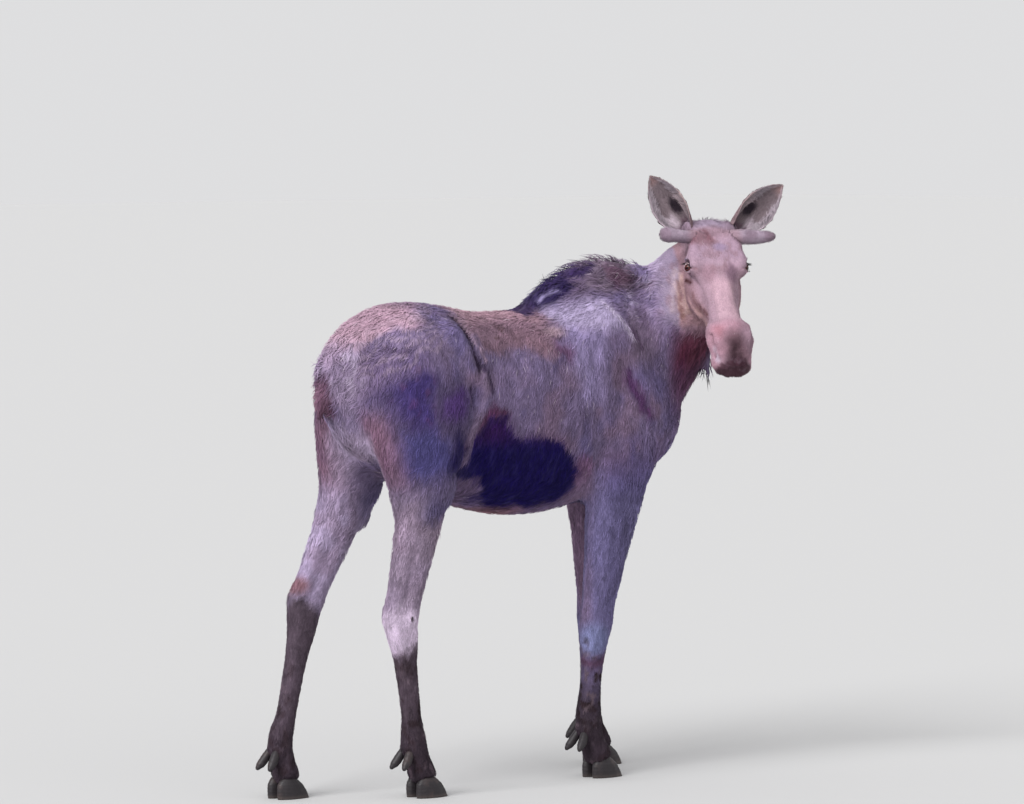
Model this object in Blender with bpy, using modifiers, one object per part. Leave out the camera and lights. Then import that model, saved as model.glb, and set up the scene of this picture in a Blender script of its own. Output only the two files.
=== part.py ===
"""A life-size young bull moose, standing still with his head turned back over his right side.

Metres, +Z up. The trunk points along +X and his left side is +Y. The origin is on the floor under the
middle of the model. The flesh is built whole from lofts and ellipsoids, fused, and then parted into
named solids by thin cuts; eyes, ears, antlers, hooves and dewclaws are solids of their own.
"""

import math

import bmesh
import bpy
import numpy as np
from mathutils import Matrix, Vector

# Driving dimensions
WITHERS = 1.70  # floor to the top of the mane on the hump
HEAD_LENGTH = 0.60  # poll to the end of the upper lip
GAP = 0.0003  # between solids that touch
VOXEL = 0.006  # grain of the fused flesh
FLESH_TRIANGLES = 3150

EAR_LENGTH = 0.225
EAR_THICKNESS = 0.007
# Each ear: which way it rises, which way it opens, and its root, in the head's frame
LEFT_EAR = ((-0.510, 0.785, 0.370), (0.72, -0.02, 0.66), (0.016, 0.084, -0.046))
RIGHT_EAR = ((-0.620, -0.630, 0.480), (0.72, -0.30, 0.62), (0.016, -0.070, -0.050))
EYE_PLACE = (0.188, 0.088, -0.046)  # in the head's own frame, either side
EYE_RADIUS = 0.0205
SHARP = math.radians(50)  # edges steeper than this stay crisp
NECK_LEAN = math.radians(-22)  # of the parting between neck and trunk, from upright

# The body is drawn about a point under the trunk's middle; this brings the model's middle to the origin.
CENTRING = Vector((-0.1305, 0.1485, 0.0))

# Head: where the poll is, which way the nose points over the floor, and how steeply it points down
POLL = Vector((0.828, -0.208, 1.825))
HEADING = math.radians(-121.5)
PITCH = math.radians(45)
ROLL = math.radians(-1)


# ---------------------------------------------------------------- shapes


def smooth_rows(rows, count):
    """A smooth curve through rows of numbers, the first three a place, read at count even steps."""
    rows = np.array(rows, float)
    steps = np.linalg.norm(np.diff(rows[:, :3], axis=0), axis=1)
    knots = np.concatenate([[0], np.cumsum(np.maximum(steps, 1e-5))])
    slopes = np.gradient(rows, knots, axis=0)
    at = np.linspace(0, knots[-1], count)
    i = np.clip(np.searchsorted(knots, at, side="right") - 1, 0, len(knots) - 2)
    gap = (knots[i + 1] - knots[i])[:, None]
    t = (at - knots[i])[:, None] / gap
    return (
        (2 * t**3 - 3 * t**2 + 1) * rows[i]
        + (t**3 - 2 * t**2 + t) * gap * slopes[i]
        + (3 * t**2 - 2 * t**3) * rows[i + 1]
        + (t**3 - t**2) * gap * slopes[i + 1]
    )


def section(centre, side, up, down=None, square=2.0):
    """One slice of a loft: a centre, the reach to the side, up and down as vectors, and how square it is."""
    down = -Vector(up) if down is None else Vector(down)
    return [*centre, *side, *up, *down, square]


def loft(bm, sections, rows=36, ring=28, dome=0.0):
    """A closed tube through the sections, added to bm. dome: how far its ends swell, as a share of their size."""
    read = smooth_rows(sections, rows)
    if dome:
        ends = []
        for row, inner in ((read[0], read[1]), (read[-1], read[-2])):
            out = Vector(row[:3] - inner[:3]).normalized()
            reach = dome * float(np.linalg.norm(row[3:6]))
            cap = []
            for turn in (0.5, 0.85, 1.15, 1.4):
                small = row.copy()
                small[0:3] += np.array(out) * reach * math.sin(turn)
                small[3:12] *= math.cos(turn)
                cap.append(small)
            ends.append(cap)
        read = np.array(ends[0][::-1] + list(read) + ends[1])
    made = []
    for row in read:
        centre, side, up, down = row[0:3], row[3:6], row[6:9], row[9:12]
        power = 2 / max(row[12], 1.2)
        loop = []
        for k in range(ring):
            c, s = math.cos(math.tau * k / ring), math.sin(math.tau * k / ring)
            across = math.copysign(abs(c) ** power, c)
            rise = abs(s) ** power
            loop.append(bm.verts.new(centre + side * across + (up if s > 0 else down) * rise))
        made.append(loop)
    for low, high in zip(made, made[1:]):
        for k in range(ring):
            n = (k + 1) % ring
            bm.faces.new((low[k], low[n], high[n], high[k]))
    bm.faces.new(reversed(made[0]))
    bm.faces.new(made[-1])


def ball(bm, centre, radii, turn=None):
    """An ellipsoid, added to bm. turn is the matrix of its axes."""
    place = Matrix.Translation(centre)
    if turn is not None:
        place = place @ turn.to_4x4()
    place = place @ Matrix.Diagonal((*radii, 1))
    bmesh.ops.create_uvsphere(bm, u_segments=24, v_segments=14, radius=1, matrix=place)


def along(direction, up=(0, 0, 1)):
    """Axes whose X runs along direction and whose Z is as near to up as it can be."""
    x = Vector(direction).normalized()
    y = Vector(up).cross(x).normalized()
    return Matrix((x, y, x.cross(y))).transposed()


def spindle(bm, start, end, width, depth, side=(0, 1, 0)):
    """A muscle: an ellipsoid from start to end, width across side and depth the other way."""
    start, end = Vector(start), Vector(end)
    turn = along(end - start, up=Vector(side).cross(end - start))
    ball(bm, (start + end) / 2, ((end - start).length / 2, width, depth), turn)


def object_of(bm, name):
    """An object of bm's faces, in triangles so that a bed cut with a copy of it fits face to face."""
    bmesh.ops.recalc_face_normals(bm, faces=bm.faces)
    bmesh.ops.triangulate(bm, faces=bm.faces)
    mesh = bpy.data.meshes.new(name)
    bm.to_mesh(mesh)
    bm.free()
    made = bpy.data.objects.new(name, mesh)
    bpy.context.scene.collection.objects.link(made)
    return made


def baked(obj):
    """obj with its modifiers applied."""
    graph = bpy.context.evaluated_depsgraph_get()
    mesh = bpy.data.meshes.new_from_object(obj.evaluated_get(graph))
    obj.modifiers.clear()
    obj.data = mesh
    return obj


def points_of(obj):
    found = np.empty(len(obj.data.vertices) * 3)
    obj.data.vertices.foreach_get("co", found)
    return found.reshape(-1, 3)


def set_points(obj, points):
    obj.data.vertices.foreach_set("co", points.ravel())
    obj.data.update()


def normals_of(obj):
    found = np.empty(len(obj.data.vertices) * 3)
    obj.data.vertices.foreach_get("normal", found)
    return found.reshape(-1, 3)


def relax(obj, rounds, hold=0.0):
    """Smooths a mesh. hold is the share of each move taken back where it is convex, so hollows fill first."""
    points = points_of(obj)
    edges = np.empty(len(obj.data.edges) * 2, int)
    obj.data.edges.foreach_get("vertices", edges)
    a, b = edges.reshape(-1, 2).T
    count = np.bincount(np.concatenate([a, b]), minlength=len(points))[:, None]
    for _ in range(rounds):
        total = np.zeros_like(points)
        for k in range(3):
            total[:, k] = np.bincount(a, points[b, k], len(points)) + np.bincount(b, points[a, k], len(points))
        move = total / count - points
        set_points(obj, points)
        normals = normals_of(obj)
        inward = np.minimum((move * normals).sum(axis=1, keepdims=True), 0)
        points = points + 0.6 * (move - hold * inward * normals)
    set_points(obj, points)


def fuse(obj, voxel):
    remesh = obj.modifiers.new("fuse", "REMESH")
    remesh.mode = "VOXEL"
    remesh.voxel_size = voxel
    remesh.adaptivity = 0
    return baked(obj)


# ---------------------------------------------------------------- trunk, neck


def trunk(bm):
    """Barrel, loin and croup. A slice: place along the body, top, bottom, half width, widest height."""
    slices = (
        (-0.670, 1.402, 1.240, 0.045, 1.320),  # tail head
        (-0.605, 1.472, 1.140, 0.095, 1.330),
        (-0.490, 1.540, 1.050, 0.160, 1.340),
        (-0.340, 1.570, 0.980, 0.195, 1.360),  # croup
        (-0.200, 1.560, 0.925, 0.205, 1.330),  # points of the hips
        (-0.050, 1.535, 0.880, 0.210, 1.240),  # loin
        (0.120, 1.535, 0.860, 0.228, 1.190),  # belly
        (0.300, 1.560, 0.875, 0.228, 1.190),  # ribs
        (0.450, 1.610, 0.910, 0.210, 1.180),  # girth
        (0.580, 1.610, 0.950, 0.195, 1.180),
        (0.700, 1.540, 0.990, 0.170, 1.180),  # breast
        (0.790, 1.420, 1.050, 0.120, 1.200),
        (0.835, 1.330, 1.120, 0.060, 1.210),
    )
    loft(
        bm,
        [
            section((x, 0, wide), (0, half, 0), (0, 0, top - wide), (0, 0, low - wide), 2.15)
            for x, top, low, half, wide in slices
        ],
        rows=56,
        ring=44,
        dome=0.6,
    )


def hump(bm):
    """The long hair over the withers: a ridge that follows the back."""
    ridge = (
        (0.170, 1.490, 0.055, 0.050),
        (0.250, 1.530, 0.065, 0.070),
        (0.350, 1.570, 0.080, 0.095),
        (0.460, 1.590, 0.090, WITHERS - 1.590),
        (0.600, 1.585, 0.085, 0.115),
        (0.700, 1.570, 0.075, 0.105),
    )
    loft(
        bm,
        [section((x, 0, z), (0, half, 0), (0, 0, rise), (0, 0, -0.12), 1.9) for x, z, half, rise in ridge],
        rows=24,
        dome=0.8,
    )


def head_place():
    """The head's own frame in the body's: X from poll to nose, Y to his left, Z out of the forehead."""
    heading = Matrix.Rotation(HEADING, 4, "Z")
    pitch = Matrix.Rotation(PITCH, 4, "Y")
    roll = Matrix.Rotation(ROLL, 4, "X")
    return Matrix.Translation(POLL) @ heading @ pitch @ roll


def neck(bm):
    """From the chest to the back of the head, turning to his right as it rises."""
    place = head_place()
    head_side = place.to_3x3() @ Vector((0, 1, 0))
    top = place @ Vector((0.045, 0, -0.10))
    rows = (
        # centre, share of the head's turn, half width, reach to the crest, reach to the throat
        (Vector((0.500, 0.000, 1.300)), 0.00, 0.150, 0.300, 0.300),
        (Vector((0.640, -0.010, 1.370)), 0.10, 0.140, 0.280, 0.270),
        (Vector((0.740, -0.050, 1.470)), 0.30, 0.118, 0.215, 0.210),
        (Vector((0.815, -0.110, 1.580)), 0.55, 0.100, 0.155, 0.165),
        (top.lerp(Vector((0.815, -0.110, 1.580)), 0.35), 0.80, 0.090, 0.125, 0.140),
        (top, 1.00, 0.075, 0.085, 0.095),
    )
    centres = [row[0] for row in rows]
    sections = []
    for n, (centre, turned, half, crest, throat) in enumerate(rows):
        run = (centres[min(n + 1, len(rows) - 1)] - centres[max(n - 1, 0)]).normalized()
        side = Vector((0, 1, 0)).slerp(head_side, turned)
        side = (side - run * side.dot(run)).normalized()
        up = run.cross(side) * -1
        if up.z < 0:
            up = -up
        sections.append(section(centre, side * half, up * crest, -up * throat, 2.1))
    loft(bm, sections, rows=36, ring=36)


# ---------------------------------------------------------------- legs

# Each leg is posed by the places of its joints, as (x, y, z). The hoof stands at the last one, on the floor.
FRONT_RIGHT = dict(
    blade=(0.50, -0.11, 1.50), shoulder=(0.61, -0.165, 1.150), elbow=(0.425, -0.155, 0.910),
    knee=(0.368, -0.135, 0.500), fetlock=(0.350, -0.130, 0.170), hoof=(0.405, -0.130, 0.0),
)
FRONT_LEFT = dict(
    blade=(0.54, 0.11, 1.50), shoulder=(0.68, 0.165, 1.160), elbow=(0.615, 0.145, 0.910),
    knee=(0.605, 0.130, 0.500), fetlock=(0.590, 0.128, 0.170), hoof=(0.645, 0.128, 0.0),
)
HIND_RIGHT = dict(
    hip=(-0.47, -0.125, 1.330), stifle=(-0.375, -0.165, 0.970), hock=(-0.478, -0.155, 0.560),
    fetlock=(-0.420, -0.150, 0.170), hoof=(-0.373, -0.150, 0.0),
)
HIND_LEFT = dict(
    hip=(-0.47, 0.125, 1.330), stifle=(-0.400, 0.160, 0.970), hock=(-0.640, 0.125, 0.598),
    fetlock=(-0.748, 0.118, 0.170), hoof=(-0.722, 0.118, 0.0),
)

LEGS = {
    "front_left": FRONT_LEFT, "front_right": FRONT_RIGHT, "hind_left": HIND_LEFT, "hind_right": HIND_RIGHT,
}

# A limb's slices: bone, share along it, reach in front, reach behind, half width
FRONT_LIMB = (
    ("elbow", "knee", -0.10, 0.135, 0.110, 0.075),
    ("elbow", "knee", 0.12, 0.117, 0.092, 0.068),
    ("elbow", "knee", 0.35, 0.096, 0.076, 0.060),
    ("elbow", "knee", 0.62, 0.078, 0.062, 0.051),
    ("elbow", "knee", 0.86, 0.065, 0.051, 0.047),
    ("elbow", "knee", 1.00, 0.062, 0.050, 0.048),
    ("knee", "fetlock", 0.14, 0.052, 0.046, 0.043),
    ("knee", "fetlock", 0.35, 0.038, 0.040, 0.035),
    ("knee", "fetlock", 0.75, 0.034, 0.036, 0.031),
    ("knee", "fetlock", 1.00, 0.038, 0.042, 0.037),
    ("fetlock", "hoof", 0.28, 0.034, 0.034, 0.038),
    ("fetlock", "hoof", 0.52, 0.044, 0.035, 0.045),
    ("fetlock", "hoof", 0.74, 0.050, 0.038, 0.047),
)
HIND_LIMB = (
    ("stifle", "hock", -0.06, 0.070, 0.118, 0.082),
    ("stifle", "hock", 0.16, 0.062, 0.104, 0.073),
    ("stifle", "hock", 0.40, 0.056, 0.092, 0.061),
    ("stifle", "hock", 0.64, 0.051, 0.083, 0.050),
    ("stifle", "hock", 0.84, 0.048, 0.078, 0.042),
    ("stifle", "hock", 1.00, 0.052, 0.077, 0.043),
    ("hock", "fetlock", 0.12, 0.050, 0.055, 0.040),
    ("hock", "fetlock", 0.30, 0.038, 0.041, 0.034),
    ("hock", "fetlock", 0.55, 0.032, 0.035, 0.030),
    ("hock", "fetlock", 0.78, 0.031, 0.035, 0.030),
    ("hock", "fetlock", 1.00, 0.035, 0.042, 0.036),
    ("fetlock", "hoof", 0.28, 0.033, 0.033, 0.037),
    ("fetlock", "hoof", 0.52, 0.042, 0.034, 0.044),
    ("fetlock", "hoof", 0.74, 0.048, 0.037, 0.045),
)


def limb(bm, joints, table):
    """The free part of a leg. Its slices stand across the bones, and at a joint halfway between the two."""
    sections = []
    for start, end, share, front, back, half in table:
        a, b = Vector(joints[start]), Vector(joints[end])
        if end == "hoof":
            b = a + (b - a) * 0.95
        run = (b - a).normalized()
        forward = Vector((0, 1, 0)).cross(run).normalized() * -1
        if forward.x < 0:
            forward = -forward
        side = run.cross(forward).normalized()
        sections.append(section(a.lerp(b, share), side * half, forward * front, -forward * back, 2.15))
    loft(bm, sections, rows=60, ring=28)


def plate(bm, front, back, halves, sides, rows=30):
    """A broad mass such as a haunch, between a front edge and a back edge given as (x, z) points."""
    sections = []
    for (fx, fz), (bx, bz), half, y in zip(front, back, halves, sides):
        centre = Vector(((fx + bx) / 2, y, (fz + bz) / 2))
        reach = Vector(((fx - bx) / 2, 0, (fz - bz) / 2))
        sections.append(section(centre, (0, half, 0), reach, -reach, 2.05))
    loft(bm, sections, rows=rows, ring=32, dome=0.7)


def haunch(bm, joints):
    stifle, hock = Vector(joints["stifle"]), Vector(joints["hock"])
    side = math.copysign(1, stifle.y)
    plate(
        bm,
        front=(
            (-0.300, 1.515), (-0.215, 1.440), (-0.150, 1.290), (-0.180, 1.120),
            (stifle.x * 0.5 - 0.110, 0.990), (stifle.x + 0.045, 0.860),
        ),
        back=(
            (-0.480, 1.480), (-0.560, 1.380), (-0.582, 1.240), (-0.570, 1.110),
            (stifle.x * 0.55 - 0.580 * 0.45 + hock.x * 0.10, 0.980),
            (stifle.x * 0.5 + hock.x * 0.5 - 0.060, 0.850),
        ),
        halves=(0.070, 0.098, 0.108, 0.102, 0.085, 0.062),
        sides=(side * 0.090, side * 0.115, side * 0.128, side * 0.140, side * 0.152, side * 0.155),
    )


def shoulder(bm, joints):
    blade, point, elbow = (Vector(joints[k]) for k in ("blade", "shoulder", "elbow"))
    side = math.copysign(1, point.y)
    plate(
        bm,
        front=(
            (blade.x + 0.060, blade.z + 0.030), (point.x + 0.040, 1.340), (point.x + 0.065, 1.180),
            (elbow.x * 0.5 + point.x * 0.5 + 0.105, elbow.z + 0.120), (elbow.x + 0.125, elbow.z),
        ),
        back=(
            (blade.x - 0.120, blade.z + 0.010), (blade.x - 0.150, 1.320), (elbow.x - 0.120, 1.140),
            (elbow.x - 0.110, elbow.z + 0.080), (elbow.x - 0.095, elbow.z - 0.010),
        ),
        halves=(0.050, 0.085, 0.102, 0.088, 0.070),
        sides=(side * 0.085, side * 0.115, side * 0.130, side * 0.145, side * 0.152),
    )


# ---------------------------------------------------------------- head


def head(bm):
    """Skull, jaw and soft nose in the head's own frame, then set in place."""
    own = bmesh.new()
    slices = (
        # place along the head, top, bottom, half width, widest height
        (-0.030, -0.035, -0.120, 0.050, -0.080),
        (0.035, -0.002, -0.175, 0.074, -0.070),
        (0.110, 0.008, -0.205, 0.080, -0.065),  # forehead
        (0.195, 0.004, -0.210, 0.078, -0.065),  # eyes
        (0.270, -0.006, -0.196, 0.066, -0.085),
        (0.350, -0.010, -0.176, 0.056, -0.090),
        (0.420, -0.004, -0.160, 0.055, -0.085),  # bridge of the nose
        (0.475, -0.002, -0.152, 0.063, -0.080),
        (0.525, -0.016, -0.150, 0.066, -0.085),  # nostrils
        (0.568, -0.038, -0.148, 0.059, -0.100),
        (HEAD_LENGTH, -0.072, -0.136, 0.040, -0.108),
    )
    loft(
        own,
        [
            section((x, 0, wide), (0, half, 0), (0, 0, top - wide), (0, 0, low - wide), 2.2)
            for x, top, low, half, wide in slices
        ],
        rows=48,
        ring=36,
    )
    for side in (1, -1):
        ball(own, (0.180, side * 0.074, -0.036), (0.056, 0.033, 0.040))  # orbit
        spindle(own, (0.060, side * 0.050, -0.012), (0.165, side * 0.076, -0.016), 0.028, 0.026)  # brow
        spindle(own, (0.040, side * 0.058, -0.150), (0.340, side * 0.046, -0.120), 0.042, 0.070)  # cheek
        ball(own, (0.020, side * 0.064, -0.050), (0.042, 0.032, 0.042))  # root of the ear
        spindle(own, (0.085, side * 0.020, -0.008), (0.095, side * 0.092, -0.002), 0.026, 0.026)  # pedicle
        ball(own, (0.480, side * 0.048, -0.062), (0.066, 0.030, 0.046))  # wing of the nostril
        ball(own, (0.550, side * 0.034, -0.112), (0.048, 0.034, 0.038))  # upper lip
    ball(own, (0.478, 0, -0.148), (0.060, 0.040, 0.030))  # chin
    own.transform(head_place())
    mesh = bpy.data.meshes.new("head_shape")
    own.to_mesh(mesh)
    own.free()
    bm.from_mesh(mesh)
    bpy.data.meshes.remove(mesh)


def flesh():
    """All the flesh as one body."""
    bm = bmesh.new()
    trunk(bm)
    hump(bm)
    neck(bm)
    head(bm)
    for joints in (HIND_RIGHT, HIND_LEFT):
        haunch(bm, joints)
        stifle = Vector(joints["stifle"])
        ball(bm, stifle + Vector((0.010, 0, 0.035)), (0.098, 0.072, 0.120))
        limb(bm, joints, HIND_LIMB)
    for joints in (FRONT_RIGHT, FRONT_LEFT):
        shoulder(bm, joints)
        limb(bm, joints, FRONT_LIMB)
    body = fuse(object_of(bm, "flesh"), VOXEL)
    relax(body, 24, hold=1.0)
    relax(body, 4)
    return body


def in_body(obj, matrix=None):
    """Puts obj's points through the head's placing (or another matrix)."""
    obj.data.transform(head_place() if matrix is None else matrix)
    return obj


def ear(side):
    """A leaf rolled into a cup: nearly a tube at its root, opening out to a flat tip."""
    rows, steps = 8, 7
    share = np.linspace(0, 1, rows)
    half = np.interp(share, (0, 0.15, 0.35, 0.55, 0.75, 0.9, 1), (0.026, 0.042, 0.060, 0.062, 0.046, 0.026, 0.006))
    wrap = np.interp(share, (0, 0.3, 0.6, 1), (2.3, 1.45, 0.95, 0.5))
    bm = bmesh.new()
    grid = []
    for t, w, roll in zip(share, half, wrap):
        radius = w / math.sin(min(roll, math.pi / 2))
        line = []
        for k in range(steps + 1):
            a = roll * (2 * k / steps - 1)
            line.append(bm.verts.new((EAR_LENGTH * t, radius * math.sin(a), radius * (1 - math.cos(a)) - 0.3 * w)))
        grid.append(line)
    for low, high in zip(grid, grid[1:]):
        for k in range(steps):
            bm.faces.new((low[k], low[k + 1], high[k + 1], high[k]))
    made = object_of(bm, "ear_left" if side > 0 else "ear_right")
    rise, opens, root = LEFT_EAR if side > 0 else RIGHT_EAR
    turn = along(rise, up=opens)
    made.data.transform(Matrix.Translation(root) @ turn.to_4x4())
    in_body(made)
    skin = made.modifiers.new("thickness", "SOLIDIFY")
    skin.thickness = EAR_THICKNESS
    skin.offset = 0
    made.modifiers.new("triangles", "TRIANGULATE")
    return baked(made)


def antler(side):
    """A first year's stub in velvet, out to the side and blunt at the tip."""
    if side < 0:
        rows = ((0.082, 0.030, -0.020, 0.022), (0.090, 0.085, -0.004, 0.021), (0.090, 0.130, 0.002, 0.021),
                (0.088, 0.156, 0.004, 0.024), (0.086, 0.174, 0.004, 0.019), (0.086, 0.182, 0.004, 0.009))
    else:
        rows = ((0.082, 0.030, -0.020, 0.024), (0.090, 0.085, -0.002, 0.025), (0.094, 0.130, 0.002, 0.023),
                (0.096, 0.165, 0.006, 0.020), (0.098, 0.190, 0.010, 0.015), (0.099, 0.202, 0.012, 0.007))
    bm = bmesh.new()
    loft(bm, [section((x, side * y, z), (r, 0, 0), (0, 0, r)) for x, y, z, r in rows], rows=8, ring=10)
    return in_body(object_of(bm, "antler_left" if side > 0 else "antler_right"))


def eye(side):
    bm = bmesh.new()
    ball_at = Matrix.Translation((EYE_PLACE[0], side * EYE_PLACE[1], EYE_PLACE[2]))
    bmesh.ops.create_uvsphere(bm, u_segments=12, v_segments=7, radius=EYE_RADIUS, matrix=ball_at)
    return in_body(object_of(bm, "eye_left" if side > 0 else "eye_right"))


def bell():
    """The small flap of skin that hangs under the throat."""
    rows = ((0.850, -0.160, 1.500, 0.020, 0.016), (0.852, -0.172, 1.430, 0.026, 0.013),
            (0.850, -0.178, 1.360, 0.024, 0.012), (0.848, -0.180, 1.300, 0.015, 0.009),
            (0.848, -0.180, 1.270, 0.006, 0.005))
    across = head_place().to_3x3() @ Vector((0, 1, 0))
    over = across.cross((0, 0, 1))
    bm = bmesh.new()
    loft(bm, [section((x, y, z), across * wide, over * thick) for x, y, z, wide, thick in rows], rows=8, ring=10)
    return object_of(bm, "bell")


def tail():
    """Short and flat, rooted in the croup and hanging close. Rows: x, z, half width, half thickness, lean back."""
    rows = ((-0.605, 1.362, 0.034, 0.024, 65), (-0.648, 1.344, 0.036, 0.023, 48), (-0.677, 1.300, 0.036, 0.021, 18),
            (-0.686, 1.250, 0.032, 0.018, 4), (-0.685, 1.205, 0.020, 0.012, 0), (-0.683, 1.187, 0.008, 0.006, 0))
    sections = []
    for x, z, wide, thick, lean in rows:
        turn = math.radians(lean)
        sections.append(section((x, 0, z), (0, wide, 0), (-thick * math.cos(turn), 0, thick * math.sin(turn))))
    bm = bmesh.new()
    loft(bm, sections, rows=10, ring=10)
    return object_of(bm, "tail")


def claw(joints, side, name):
    """One half of a hoof, flat underneath, its top inside the skin of the foot."""
    place = Vector(joints["hoof"])
    splay = Matrix.Rotation(math.radians(5 * side), 4, "Z")
    rows = ((0.000, 0.074, 0.050, 0.0235), (0.024, 0.066, 0.048, 0.0240), (0.048, 0.052, 0.042, 0.0225),
            (0.066, 0.032, 0.026, 0.0170))
    bm = bmesh.new()
    loft(
        bm,
        [section((-0.15 * z, 0, z), (0, half, 0), (toe, 0, 0), (-heel, 0, 0), 1.8) for z, toe, heel, half in rows],
        rows=4,
        ring=12,
    )
    made = object_of(bm, name)
    return in_body(made, Matrix.Translation(place + Vector((0, side * 0.0272, 0))) @ splay)


def dewclaw(joints, side, name):
    """A small claw behind the pastern, pointing down and back."""
    fetlock = Vector(joints["fetlock"])
    top = fetlock + Vector((-0.026, side * 0.020, -0.030))
    tip = fetlock + Vector((-0.066, side * 0.031, -0.076))
    bm = bmesh.new()
    rows = ((0, 0.012), (0.35, 0.016), (0.75, 0.013), (1, 0.006))
    run = (tip - top).normalized()
    back = run.cross((0, 1, 0)).normalized()
    loft(bm, [section(top.lerp(tip, t), (0, r, 0), back * r) for t, r in rows], rows=4, ring=8)
    return object_of(bm, name)


# ---------------------------------------------------------------- parting


def grown(obj, amount):
    """A copy of obj swollen by amount, to cut its bed with."""
    made = obj.copy()
    made.data = obj.data.copy()
    bpy.context.scene.collection.objects.link(made)
    set_points(made, points_of(made) + amount * normals_of(made))
    return made


def combine(body, other, operation):
    step = body.modifiers.new("cut", "BOOLEAN")
    step.operation = operation
    step.solver = "EXACT"
    step.object = other
    return baked(body)


def cut_away(body, cutter):
    """body less cutter. The cutter is used up."""
    combine(body, cutter, "DIFFERENCE")
    bpy.data.objects.remove(cutter)


def part_off(body, volume, name):
    """What of body lies in volume, as a solid of its own; body loses it and a gap round it."""
    piece = body.copy()
    piece.data = body.data.copy()
    piece.name = name
    bpy.context.scene.collection.objects.link(piece)
    combine(piece, volume, "INTERSECT")
    cut_away(body, grown(volume, GAP))
    bpy.data.objects.remove(volume)
    return piece


def volume_of(rows):
    """A closed shape through level slices: centre, half length as a vector, half width as a vector."""
    bm = bmesh.new()
    loft(bm, [section(centre, wide, long, None, 4.5) for centre, long, wide in rows], rows=9, ring=14)
    return object_of(bm, "volume")


def head_volume():
    """Round the head: square behind the ears and along under the jaw. Drawn in the head's own frame."""
    rows = (
        (-0.076, -0.190, 0.080, 0.110), (-0.050, -0.230, 0.200, 0.140), (0.050, -0.238, 0.250, 0.160),
        (0.300, -0.240, 0.250, 0.200), (0.550, -0.240, 0.250, 0.200), (0.800, -0.240, 0.250, 0.200),
    )
    return in_body(
        volume_of([((x, 0, (low + high) / 2), (0, 0, (high - low) / 2), (0, half, 0)) for x, low, high, half in rows])
    )


def neck_volume():
    """A block in front of the line from the withers to the breast."""
    bm = bmesh.new()
    bmesh.ops.create_cube(bm, size=1)
    place = Matrix.Translation((0.745, -0.030, 1.440)) @ Matrix.Rotation(NECK_LEAN, 4, "Y")
    bm.transform(place @ Matrix.Diagonal((0.80, 1.20, 1.00, 1)) @ Matrix.Translation((0.5, 0, 0)))
    return object_of(bm, "volume")


def leg_volume(rows, side):
    """Round a leg. rows: height, front, back, inner, outer."""
    return volume_of(
        [(((f + b) / 2, side * (i + o) / 2, z), ((f - b) / 2, 0, 0), (0, (o - i) / 2, 0)) for z, f, b, i, o in rows]
    )


HIND_VOLUME = (
    (1.480, -0.350, -0.430, 0.080, 0.300),
    (1.455, -0.250, -0.540, 0.070, 0.360),
    (1.360, -0.155, -0.780, 0.060, 0.400),
    (1.240, -0.110, -0.820, 0.055, 0.400),
    (1.100, -0.130, -0.860, 0.045, 0.400),
    (0.980, -0.210, -0.900, 0.035, 0.400),
    (0.860, -0.240, -0.950, 0.025, 0.400),
    (0.020, -0.240, -0.950, 0.020, 0.400),
)


def front_volume(joints):
    blade, elbow, point = joints["blade"][0], joints["elbow"][0], joints["shoulder"][0]
    return (
        (1.550, blade + 0.000, blade - 0.060, 0.130, 0.300),
        (1.520, blade + 0.080, blade - 0.130, 0.120, 0.340),
        (1.360, point + 0.070, blade - 0.175, 0.110, 0.380),
        (1.180, point + 0.110, elbow - 0.150, 0.100, 0.400),
        (1.020, point + 0.110, elbow - 0.150, 0.085, 0.400),
        (0.900, point + 0.120, elbow - 0.170, 0.065, 0.400),
        (0.750, point + 0.150, elbow - 0.200, 0.030, 0.400),
        (0.020, point + 0.150, elbow - 0.200, 0.030, 0.400),
    )


def clear_scene():
    for obj in list(bpy.data.objects):
        bpy.data.objects.remove(obj)


def part_flesh(body):
    """The flesh cut into head, neck, four legs and the trunk that is left."""
    pieces = [part_off(body, head_volume(), "head")]
    for name, joints in LEGS.items():
        rows = HIND_VOLUME if "hind" in name else front_volume(joints)
        pieces.append(part_off(body, leg_volume(rows, 1 if "left" in name else -1), f"leg_{name}"))
    pieces.append(part_off(body, neck_volume(), "neck"))
    body.name = "trunk"
    return pieces + [body]


# Colour and roughness by the first word of a solid's name
LOOKS = {
    "head": ((0.34, 0.25, 0.22), 0.90), "neck": ((0.25, 0.20, 0.18), 0.95), "trunk": ((0.22, 0.17, 0.15), 0.95),
    "leg": ((0.16, 0.12, 0.11), 0.95), "tail": ((0.10, 0.07, 0.06), 0.95), "bell": ((0.12, 0.08, 0.07), 0.95),
    "ear": ((0.27, 0.21, 0.18), 0.90), "eye": ((0.03, 0.02, 0.015), 0.10), "antler": ((0.30, 0.23, 0.22), 0.90),
    "hoof": ((0.03, 0.026, 0.023), 0.55), "dewclaw": ((0.03, 0.026, 0.023), 0.60),
}


def finish(piece, collection):
    """Moves a solid to its place about the origin, gives it its look and files it."""
    piece.data.transform(Matrix.Translation(CENTRING))
    piece.data.name = piece.name
    colour, roughness = LOOKS[piece.name.split("_")[0]]
    material = bpy.data.materials.new(piece.name)
    material.use_nodes = True
    shader = material.node_tree.nodes["Principled BSDF"]
    shader.inputs["Base Color"].default_value = (*colour, 1)
    shader.inputs["Roughness"].default_value = roughness
    shader.inputs["Metallic"].default_value = 0.0
    piece.data.materials.clear()
    piece.data.materials.append(material)
    piece.data.shade_smooth()
    piece.data.set_sharp_from_angle(angle=SHARP)
    for old in list(piece.users_collection):
        old.objects.unlink(piece)
    collection.objects.link(piece)


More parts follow.
